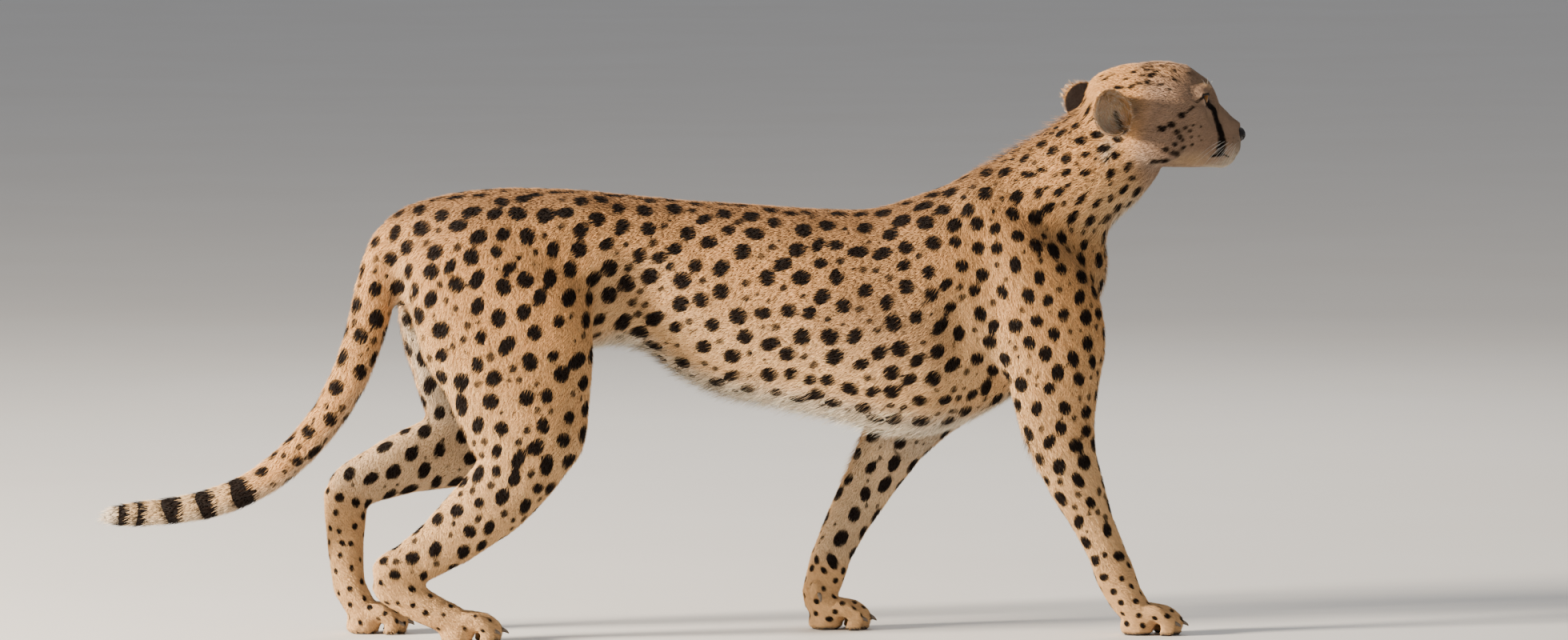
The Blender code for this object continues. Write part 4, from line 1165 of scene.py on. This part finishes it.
def coat_plan():
    """Length of the tufts, how far they stand out, their number per square metre and their width, at each
    vertex."""
    up = NORMALS[:, 2]
    length = eased(by_node(lambda n: coat_of(n)[1], OWNER), EDGES, 12)
    rise = np.full(len(POINTS), 0.27)
    muzzle = HEAD_SHARE * bump(FOLDED, (0.050, 0.012, -0.035), (0.045, 0.040, 0.045))
    lids = np.zeros(len(POINTS))
    for margin, far in round_eyes(HEAD_POINTS):
        lids = np.maximum(lids, ramp(margin, 0.010, 0.001) * (far < 0.03))
    throat = np.clip(NECK_SHARE + TRUNK_SHARE, 0, 1) * ramp(NORMALS @ np.array((0.8, 0, -0.6)), 0.4, 0.9)
    legs_back = region("upper", "forearm") * ramp(-NORMALS[:, 0], 0.6, 0.9) * ramp(POINTS[:, 2], 0.15, 0.3)
    elbows = []
    for side in ("left", "right"):
        low = corner(f"foreleg_{side}_upper")[0][2]
        here = by_node(lambda n: n in (f"foreleg_{side}_upper", f"foreleg_{side}_forearm"), OWNER)
        near = ramp(np.abs(POINTS[:, 2] - low - 0.012), 0.040, 0.012)
        elbows.append(here * ramp(-NORMALS[:, 0], 0.2, 0.8) * near)
    ear_in = EAR_SHARE * EAR_INSIDE
    for share, long, stand in (
        (FACE * 0.85, 0.0046, None),
        (np.clip(1.3 * muzzle, 0, 1), 0.0027, None),
        (lids, 0.0016, None),
        (ramp(up, -0.35, -0.85) * TRUNK_SHARE, 0.024, 0.55),                # belly
        (NECK_SHARE * ramp(up, 0.45, 0.9), 0.022, 0.52),                    # nape
        (throat, 0.015, 0.38),
        (region("thigh") * ramp(-NORMALS[:, 0], 0.5, 0.9), 0.015, None),
        (legs_back, 0.012, None),
        (elbows[0], 0.018, 0.52),
        (elbows[1], 0.018, 0.52),
        (TAIL_SHARE * ramp(TAIL_ALONG, 0.86, 1.0), 0.019, 0.35),            # tip of the tail
        (ear_in, 0.0115, 0.42),
        (EAR_SHARE * (1 - EAR_INSIDE), 0.0050, None),
        (EAR_SHARE * ramp(EAR_RIM, 0.3, 0.8), 0.0095, 0.55),
        (bump(EAR_PLACE, (0.026, 0.0, 0.006), (0.016, 0.06, 0.036)), 0.0165, 0.34),   # before the ears
    ):
        length = mix(length, long, share)
        if stand:
            rise = mix(rise, stand, share)
    sole = ramp(POINTS[:, 2], 0.008, 0.002) * FOOT_SHARE
    wide = np.clip(TUFT_WIDE * length, TUFT_LEAST, TUFT_MOST)
    wide = mix(wide, 0.00055, ear_in)
    number = COVER / (wide * length)
    number = number * (0.90 + 0.75 * HEAD_SHARE + 1.0 * ear_in)
    number = np.minimum(number, MOST_TUFTS)
    number = number * (1 - sole) * (1 - lids * 0.4)
    for margin, far in round_eyes(HEAD_POINTS):
        number = np.where((margin < 0.0010) & (far < EYE_RADIUS + 0.006), 0, number)
    number = np.where(leather_reach(HEAD_POINTS) < 1.10, 0, number)
    return length, rise, number, wide


LENGTH, RISE, NUMBER, WIDE = coat_plan()


def roots():
    """Tuft roots, evenly over the skin: a triangle each, and its shares of the three corners."""
    a, b, c = POINTS[TRIANGLES[:, 0]], POINTS[TRIANGLES[:, 1]], POINTS[TRIANGLES[:, 2]]
    area = np.linalg.norm(np.cross(b - a, c - a), axis=1) / 2
    wanted = area * NUMBER[TRIANGLES].mean(axis=1)
    total = np.cumsum(wanted)
    count = int(total[-1])
    places = (np.arange(count) + RNG.random(count)) * (total[-1] / count)
    face = np.searchsorted(total, places).clip(0, len(TRIANGLES) - 1)
    r = RNG.random((count, 2))
    s = np.sqrt(r[:, 0])
    shares = np.column_stack((1 - s, s * (1 - r[:, 1]), s * r[:, 1]))
    return face, shares


def blended(values, face, shares):
    corners = values[TRIANGLES[face]]
    if values.ndim == 1:
        return (corners * shares).sum(axis=1)
    return (corners * shares[:, :, None]).sum(axis=1)


def tufts(face, shares):
    """Corner points of every tuft, four to each: two at its sides, one on its ridge and its tip."""
    root, normal, field, length, rise, wide = (
        blended(values, face, shares) for values in (POINTS, NORMALS, FIELD, LENGTH, RISE, WIDE))
    normal = unit(normal)
    field = lay(field, normal)
    n = len(root)
    across = np.cross(normal, field)
    swirl = 0.16 * wobble(root, 0.022, 6) + 0.10 * wobble(root, 0.007, 7) + RNG.normal(0, 0.13, n)
    along = turned(field, across, swirl)
    across = np.cross(normal, along)
    length = length * RNG.uniform(0.72, 1.20, n)
    lift = rise * RNG.uniform(0.55, 1.35, n)
    wide = wide * RNG.uniform(0.75, 1.2, n)
    tip = root + along * (length * np.cos(lift))[:, None] + normal * (length * np.sin(lift))[:, None]
    tip[:, 2] = np.maximum(tip[:, 2], 0.0004)
    base = root - normal * (0.10 * wide)[:, None]
    left = base - across * (wide / 2)[:, None]
    right = base + across * (wide / 2)[:, None]
    ridge = root + normal * (0.32 * wide)[:, None] + along * (0.18 * length)[:, None]
    ridge = ridge + normal * (0.18 * length * np.sin(lift))[:, None]
    for part in (left, right, ridge):
        part[:, 2] = np.maximum(part[:, 2], 0.0002)
    return root, np.stack((left, right, ridge, tip), axis=1)


def tuft_colours(face, shares, root, corners):
    """The colour at each tuft's four corners: its own tone from its root, and the dark of the marks by
    where the corner lies."""
    n = len(root)
    ground, head, tail, along, lie, inside = (
        blended(values, face, shares)
        for values in (BASE, HEAD_SHARE, TAIL_SHARE, TAIL_ALONG, FIELD, EAR_SHARE * EAR_INSIDE))
    noise = RNG.normal(0, 0.0005, n)

    def darkness(points):
        field, ink = spot_field(points, head, tail, along)
        return ramp(field + noise, 0.0004, -0.0006) * ink

    near_dark = darkness(root)
    far_dark = darkness(mix(root, corners[:, 3], 0.8))
    value = np.exp(RNG.normal(0.0, 0.17, n))
    warm = RNG.normal(0, 0.025, n)
    drawn = root - lie * (0.82 * (root * lie).sum(axis=1))[:, None]
    streak = 1 + 0.10 * wobble(drawn, 0.0030, 8) + 0.08 * wobble(drawn, 0.0011, 9)
    streak = streak + 0.05 * wobble(root, 0.010, 6)
    tone = ground * (value * streak)[:, None] * (1 + warm[:, None] * np.array((1, 0, -1.5)))
    brown = RNG.random(n) < 0.07
    tone = np.where(brown[:, None], tone * 0.72, tone)
    wisp = RNG.random(n) < 0.42 * inside
    tone = np.where(wisp[:, None], WHITE, tone)
    black = BLACK * (0.8 + 0.6 * RNG.random(n))[:, None]
    black = mix(black, RUST, 0.14 * RNG.random(n))
    shade = np.array((0.80, 0.80, 0.95, 1.12))
    dark = np.column_stack((near_dark, near_dark, 0.6 * near_dark + 0.4 * far_dark, far_dark))[:, :, None]
    tone = tone[:, None, :] * (1 - dark) + black[:, None, :] * dark
    return np.clip(tone * shade[None, :, None], 0.002, 0.95)


def make_coat():
    face, shares = roots()
    root, corners = tufts(face, shares)
    tone = tuft_colours(face, shares, root, corners)
    wide, length = blended(WIDE, face, shares), blended(LENGTH, face, shares)
    own = RNG.random(len(root))
    strand = np.stack((own[:, None] * 60 + np.array((0, 1, 0.5, 0.5)) * wide[:, None] / STREAK_WIDE,
                       np.array((0, 0, 0.3, 1)) * length[:, None] / STREAK_LONG,
                       own[:, None] * 37 + np.zeros(4)), axis=2)
    owner = OWNER[TRIANGLES[face, 0]]
    place, _ = on_map(root, owner)
    # pieces go by place, so that each holds one part of the animal
    order = np.argsort(owner, kind="stable")
    pieces = []
    corner_uv = np.array(((-0.5, -0.5), (0.5, -0.5), (0.0, 0.0), (0.0, 0.5))) * PATCH
    sides = np.array(((0, 2, 3), (2, 1, 3), (1, 0, 3), (0, 1, 2)))
    number = int(math.ceil(len(order) / TUFTS_PER_PIECE))
    for k, chosen in enumerate(np.array_split(order, number)):
        m = len(chosen)
        points = corners[chosen].reshape(-1, 3)
        faces = (sides[None] + 4 * np.arange(m)[:, None, None]).reshape(-1, 3)
        mesh = mesh_from(f"coat_{k + 1}", points, faces)
        put(mesh, "tone", tone[chosen].reshape(-1, 3))
        put(mesh, "strand", strand[chosen].reshape(-1, 3))
        layer = mesh.uv_layers.new(name="OFBake")
        uv = place[chosen][:, None, :] + corner_uv[None]
        layer.uv.foreach_set("vector", uv.reshape(-1, 2)[faces.ravel()].astype(np.float32).ravel())
        shade_smooth(mesh)
        pieces.append(object_of(mesh, f"coat_{k + 1}"))
    print("tufts", len(order), "in", number, "pieces")
    return pieces


COAT = make_coat()


# ---------------------------------------------------------------- materials

class Look:
    """A material being made, with short ways to add nodes to it."""

    def __init__(self, name):
        self.mat = bpy.data.materials.new(name)
        self.mat.use_nodes = True
        self.tree = self.mat.node_tree
        self.shader = self.tree.nodes["Principled BSDF"]

    def add(self, kind, out, inputs, **settings):
        """One output of a new node; its inputs are constants or outputs of other nodes."""
        made = self.tree.nodes.new("ShaderNode" + kind)
        for key, value in settings.items():
            setattr(made, key, value)
        for key, value in inputs.items():
            if isinstance(value, bpy.types.NodeSocket):
                self.tree.links.new(value, made.inputs[key])
            else:
                made.inputs[key].default_value = value
        return made.outputs[out]

    def place(self):
        return self.add("TexCoord", "Object", {})

    def field(self, name, out="Fac"):
        return self.add("Attribute", out, {}, attribute_name=name)

    def noise(self, scale, detail, vector=None, rough=0.55):
        grain = {"Scale": scale, "Detail": detail, "Roughness": rough}
        return self.add("TexNoise", "Fac", {"Vector": vector or self.place(), **grain})

    def mixed(self, factor, a, b, kind="MIX"):
        return self.add("Mix", 2, {0: factor, 6: a, 7: b}, data_type="RGBA", blend_type=kind)

    def ranged(self, value, low, high, to_low=0.0, to_high=1.0):
        span = {"From Min": low, "From Max": high, "To Min": to_low, "To Max": to_high}
        return self.add("MapRange", "Result", {"Value": value, **span})

    def shaded(self, colour, value, low, high, darkest, lightest):
        """A colour that a value makes darker and lighter."""
        return self.mixed(1.0, colour, self.ranged(value, low, high, darkest, lightest), "MULTIPLY")

    def math(self, operation, a, b):
        return self.add("Math", 0, {0: a, 1: b}, operation=operation)

    def vector(self, operation, out, inputs):
        return self.add("VectorMath", out, inputs, operation=operation)

    def bump(self, height, distance, strength):
        inputs = {"Strength": strength, "Distance": distance, "Height": height}
        normal = self.add("Bump", "Normal", inputs)
        self.tree.links.new(normal, self.shader.inputs["Normal"])

    def done(self, colour, **constants):
        """The material, its constants set on the shader's own sockets."""
        self.tree.links.new(colour, self.shader.inputs["Base Color"])
        for key, value in constants.items():
            self.shader.inputs[key.replace("_", " ")].default_value = value
        return self.mat


def streaks(look):
    """Fine noise drawn out along the lie of the coat."""
    lie, place = look.field("lie", "Vector"), look.place()
    along = look.vector("DOT_PRODUCT", "Value", {0: place, 1: lie})
    part = look.vector("SCALE", "Vector", {0: lie, "Scale": along})
    short = look.vector("MULTIPLY_ADD", "Vector", {0: part, 1: (-0.93, -0.93, -0.93), 2: place})
    return look.noise(2200.0, 2.0, short, 0.5)


def skin_material():
    """Fine under-fur in the ground colour with the marks, bare dark pads, lids and lips."""
    look = Look("skin_fur")
    fine = streaks(look)
    broad = look.noise(160.0, 3.0)
    furred = look.shaded(look.field("ground", "Color"), fine, 0.3, 0.7, 0.78, 1.12)
    furred = look.shaded(furred, broad, 0.3, 0.7, 0.90, 1.06)
    edge = look.math("ADD", look.field("mark"), look.ranged(fine, 0.2, 0.8, -0.0008, 0.0008))
    inked = look.math("MULTIPLY", look.ranged(edge, 0.0004, -0.0004), look.field("ink"))
    colour = look.mixed(inked, furred, look.shaded((*BLACK, 1), fine, 0.3, 0.7, 0.7, 1.6))
    colour = look.mixed(look.field("bare"), colour, look.shaded((*PAD, 1), broad, 0.3, 0.7, 0.7, 1.3))
    look.bump(fine, 0.0006, 0.7)
    return look.done(colour, Roughness=0.78, Specular_IOR_Level=0.2)


def coat_material():
    """Hair: each tuft has its own tone, with fine streaks and a soft sheen."""
    look = Look("coat_hair")
    fine = look.noise(1.0, 1.0, look.field("strand", "Vector"), 0.5)
    colour = look.shaded(look.field("tone", "Color"), fine, 0.32, 0.68, 0.70, 1.22)
    look.bump(fine, 0.00025, 0.6)
    return look.done(colour, Roughness=0.70, Specular_IOR_Level=0.06)


def finish_skin():
    mesh = SKIN.data
    put(mesh, "ground", BASE * 0.86)
    put(mesh, "mark", SPOT)
    put(mesh, "ink", INK)
    lie = mesh.attributes.new("lie", "FLOAT_VECTOR", "POINT")
    lie.data.foreach_set("vector", FIELD.astype(np.float32).ravel())
    bare = ramp(POINTS[:, 2], 0.0065, 0.0035) * (NORMALS[:, 2] < 0.2) * FOOT_SHARE
    for margin, far in round_eyes(HEAD_POINTS):
        bare = np.maximum(bare, ramp(margin, 0.0016, 0.0006) * (far < EYE_RADIUS + 0.006))
    off, _ = to_line(FOLDED, LAID_MOUTH)
    bare = np.maximum(bare, ramp(off, 0.0018, 0.0008))
    bare = np.maximum(bare, ramp(leather_reach(HEAD_POINTS), 1.12, 1.0))
    put(mesh, "bare", bare)
    mesh.materials.clear()
    mesh.materials.append(skin_material())
    SKIN.name = "skin"
    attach(SKIN, "root")
    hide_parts(*FLESH)
    hair = coat_material()
    for piece in COAT:
        piece.data.materials.append(hair)
        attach(piece, "root")


finish_skin()


# ---------------------------------------------------------------- eyes

def eye_material():
    """Round pupil, amber iris with fine spokes and a dark limb, dark outside it, all under a wet coat."""
    look = Look("eye_wet")
    off = look.field("off_axis")
    fleck = look.noise(700.0, 3.0)
    iris = look.mixed(look.ranged(off, 0.26, 0.82), (0.22, 0.095, 0.017, 1), (0.09, 0.033, 0.007, 1))
    iris = look.shaded(iris, look.field("spoke"), -1.0, 1.0, 0.72, 1.2)
    iris = look.shaded(iris, fleck, 0.3, 0.7, 0.8, 1.2)
    colour = look.mixed(look.ranged(off, 0.285, 0.265), iris, (0.003, 0.003, 0.003, 1))
    rim = look.shaded((0.020, 0.013, 0.010, 1), fleck, 0.3, 0.7, 0.8, 1.2)
    colour = look.mixed(look.ranged(off, 0.80, 0.90), colour, rim)
    return look.done(colour, Roughness=0.22, Specular_IOR_Level=0.08, Coat_Weight=0.22, Coat_Roughness=0.03)


def make_eye(name, middle, side, mat):
    """An eyeball with a raised cornea."""
    mesh = sphere(name, 5)
    gaze = eye_frame(side)[0] @ HEAD_AXES
    d = unit(points_of(mesh))
    off = np.arccos(np.clip(d @ gaze, -1, 1))
    size = EYE_RADIUS * (1 + 0.050 * ramp(off, 0.95, 0.30)) - 0.0001
    set_points(mesh, middle + d * size[:, None])
    up = HEAD_AXES[2]
    turn = np.arctan2(d @ up, d @ np.cross(gaze, up))
    spokes = np.sin(turn * 46) + 0.6 * np.sin(turn * 83 + 1) + 0.4 * np.sin(turn * 23 + 2)
    put(mesh, "off_axis", off)
    put(mesh, "spoke", spokes / 2)
    obj = piece_of(mesh, name, mat)
    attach(obj, "root")
    return obj


EYE_MATERIAL = eye_material()
for eye_name, eye_middle, eye_side in (("left", EYE_LEFT, 1), ("right", EYE_RIGHT, -1)):
    ball = make_eye(f"eyeball_{eye_name}", eye_middle, eye_side, EYE_MATERIAL)
    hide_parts(f"eye_{eye_name}")


# ---------------------------------------------------------------- nose leather

def nose_material():
    look = Look("nose_leather")
    grain = {"Vector": look.place(), "Scale": 900.0}
    cell = look.add("TexVoronoi", "Distance", grain, feature="DISTANCE_TO_EDGE")
    pebble = look.ranged(cell, 0.0, 0.25)
    colour = look.mixed(pebble, (0.006, 0.0045, 0.004, 1), (0.018, 0.014, 0.013, 1))
    look.bump(pebble, 0.0003, 0.6)
    return look.done(colour, Roughness=0.50, Specular_IOR_Level=0.25, Coat_Weight=0.08, Coat_Roughness=0.25)


def make_nose():
    """Leather at the muzzle's tip: broad above, narrowing to the lip, with comma-shaped nostrils and a
    groove between them."""
    mesh = sphere("nose_pad", 6)
    d = unit(points_of(mesh))
    f, l, u = d.T
    low = ramp(u, 0.15, -0.95)
    wide = 0.0150 * (1 - 0.52 * low)
    x = 0.0112 * f + 0.0006 * low * f
    y = wide * l
    z = 0.0108 * u - 0.0018 * low
    y = y * (1 + 0.10 * bump(np.column_stack((np.abs(l), u)), (0.85, -0.05), (0.5, 0.5)))
    p = np.column_stack((x, y, z))
    # nostrils: a round hole in front that runs out into a slit at the side
    for side in (1, -1):
        line = np.array(((0.62, side * 0.40, -0.20), (0.60, side * 0.66, -0.12), (0.36, side * 0.93, 0.08)))
        off, along = to_line(d, unit(line))
        depth = ramp(off, 0.24 - 0.12 * along, 0.04)
        p = p - d * (depth * (0.0058 - 0.0030 * along))[:, None]
        rim = ramp(np.abs(off - 0.26 + 0.10 * along), 0.10, 0.0)
        p = p + d * (rim * 0.0005)[:, None]
    groove = ramp(np.abs(l), 0.09, 0.0) * (f > 0) * ramp(u, 0.35, -0.1)
    p = p - d * (groove * 0.0012)[:, None]
    set_points(mesh, from_head(p + LEATHER_AT))
    obj = piece_of(mesh, "nose_pad", nose_material())
    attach(obj, "root")
    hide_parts("nose")


make_nose()


# ---------------------------------------------------------------- claws

def horn_material():
    look = Look("claw_horn")
    streak = look.noise(600.0, 4.0)
    colour = look.mixed(look.ranged(streak, 0.3, 0.7), (0.045, 0.032, 0.022, 1), (0.17, 0.125, 0.085, 1))
    look.bump(streak, 0.0002, 0.4)
    return look.done(colour, Roughness=0.42)


def make_claws():
    """Every claw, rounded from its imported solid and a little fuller."""
    points, faces, _ = joined(CLAWS, 0.0004)
    claws = object_of(mesh_from("claws", points, faces), "claws")
    modify(claws, "SUBSURF", levels=2, render_levels=2)
    points = points_of(claws.data)
    points[:, 2] = np.maximum(points[:, 2], 0.0005)
    set_points(claws.data, points)
    shade_smooth(claws.data)
    claws.data.materials.append(horn_material())
    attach(claws, "root")
    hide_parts(*CLAWS)


make_claws()


# ---------------------------------------------------------------- whiskers

def whisker_material():
    look = Look("whisker_hair")
    fine = look.ranged(look.noise(300.0, 2.0), 0.3, 0.7)
    return look.done(look.mixed(fine, (0.72, 0.66, 0.56, 1), (0.88, 0.84, 0.76, 1)), Roughness=0.35)


def skin_hit(tree, start, way):
    """Where a ray from outside meets the skin."""
    place = tree.ray_cast(Vector(start), Vector(way))[0]
    return None if place is None else np.array(place)


def whisker_stems():
    """Roots, ways, lengths and thicknesses: rows on the whisker pads, and a few hairs over the eyes."""
    tree = BVHTree.FromPolygons(POINTS.tolist(), TRIANGLES.tolist())
    for side in (1, -1):
        for row, k in WHISKER_GRID:
            at = np.array((0.0575 - 0.0058 * k, side * 0.06, -0.0520 - 0.0050 * row))
            way = np.array((-0.12, -side, 0.0))
            hit = skin_hit(tree, from_head(at), way @ HEAD_AXES)
            if hit is not None:
                long = RNG.uniform(0.030, 0.052) * (0.75 + 0.10 * k)
                down = -0.30 - 0.22 * row + RNG.normal(0, 0.08)
                out = unit(np.array((-0.55 - 0.12 * k, side * 0.72, down)))
                yield hit, out @ HEAD_AXES, long, 0.00024
        for k in range(3):
            at = np.array((-0.004 - 0.005 * k, side * (0.030 + 0.004 * k), 0.06))
            hit = skin_hit(tree, from_head(at), -HEAD_AXES[2])
            if hit is not None:
                out = unit(np.array((0.05 - 0.25 * k, side * 0.45, 0.75)))
                yield hit, out @ HEAD_AXES, RNG.uniform(0.018, 0.026), 0.00020


WHISKER_RINGS, WHISKER_SIDES = 8, 6
WHISKER_SAG = np.array((-0.10, 0, -0.26))        # of its length, at the tip
WHISKER_ROOT = 0.0015                            # depth in the skin


def make_whiskers():
    """Tapered bent hairs, as closed tubes."""
    points, faces = [], []
    rings, sides = WHISKER_RINGS, WHISKER_SIDES
    for root, out, long, thick in whisker_stems():
        out = unit(out)
        across = unit(np.cross(out, (0.0, 0.0, 1.0)))
        over = np.cross(across, out)
        start = len(points)
        end = start + (rings - 1) * sides
        for r in range(rings):
            t = r / (rings - 1)
            middle = root - out * WHISKER_ROOT + out * (long * t) + WHISKER_SAG * long * t * t
            size = thick * (1 - 0.85 * t)
            for s in range(sides):
                a = 2 * math.pi * s / sides
                points.append(middle + across * (size * math.cos(a)) + over * (size * math.sin(a)))
        for ring, s in itertools.product(range(start, end, sides), range(sides)):
            a, b = ring + s, ring + (s + 1) % sides
            faces += [(a, b, b + sides), (a, b + sides, a + sides)]
        for s in range(1, sides - 1):
            faces += [(start, start + s + 1, start + s), (end, end + s, end + s + 1)]
    mesh = mesh_from("whiskers", np.array(points), np.array(faces))
    bm = bmesh.new()
    bm.from_mesh(mesh)
    bmesh.ops.recalc_face_normals(bm, faces=bm.faces)
    bm.to_mesh(mesh)
    bm.free()
    obj = piece_of(mesh, "whiskers", whisker_material())
    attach(obj, "root")


make_whiskers()


# ---------------------------------------------------------------- studio

def floor_material():
    look = Look("studio_floor")
    broad = look.ranged(look.noise(1.5, 2.0), 0.3, 0.7)
    return look.done(look.mixed(broad, (0.80, 0.785, 0.76, 1), (0.82, 0.81, 0.79, 1)), Roughness=0.9)


def make_floor():
    mesh = shape("floor", bmesh.ops.create_grid, x_segments=8, y_segments=8, size=30)
    floor = object_of(mesh, "floor")
    mesh.materials.append(floor_material())


def make_light(name, place, height, size, power, colour):
    data = bpy.data.lights.new(name, "AREA")
    data.shape = "DISK"
    data.size = size
    data.energy = power
    data.color = colour
    obj = object_of(data, name)
    obj.location = place
    aim = Vector((0, 0, height)) - Vector(place)
    obj.rotation_mode = "QUATERNION"
    obj.rotation_quaternion = aim.to_track_quat("-Z", "Y")


def make_camera():
    """Level with the chest, looking 6 degrees forward of square on and 4 degrees down, from far off."""
    turn, drop, distance, width, sensor = math.radians(-6), math.radians(4), 16.0, 2.254, 36.0
    back = Vector((math.sin(turn) * math.cos(drop), -math.cos(turn) * math.cos(drop), math.sin(drop)))
    right = Vector((math.cos(turn), math.sin(turn), 0))
    up = back.cross(right)
    toes = corner("foreleg_right_paw")[1][0]
    middle = Vector((toes - 0.5471, 0.0014, 0.0))
    target = middle - right * 0.0230 + up * 0.4508
    data = bpy.data.cameras.new("camera")
    data.sensor_width = sensor
    data.lens = sensor * distance / width
    data.clip_end = 100
    camera = object_of(data, "camera")
    camera.location = target + back * distance
    camera.rotation_mode = "QUATERNION"
    camera.rotation_quaternion = (-back).to_track_quat("-Z", "Y")
    bpy.context.scene.camera = camera


make_floor()
# Name, place, height aimed at, size, power and colour. The key light is low and warm, from behind the
# animal's right hip.
for lamp in (
    ("key", (-6.8, -1.9, 2.3), 0.45, 1.6, 2650, (1.0, 0.87, 0.71)),
    ("fill", (4.5, -5.5, 1.6), 0.4, 4.0, 85, (0.90, 0.95, 1.0)),
    ("back", (1.0, 4.0, 3.5), 0.4, 3.0, 80, (1.0, 0.96, 0.90)),
):
    make_light(*lamp)
world = bpy.data.worlds.new("studio")
world.use_nodes = True
sky = world.node_tree.nodes["Background"].inputs
sky["Color"].default_value = (0.93, 0.95, 1.0, 1)
sky["Strength"].default_value = 0.31
bpy.context.scene.world = world
make_camera()
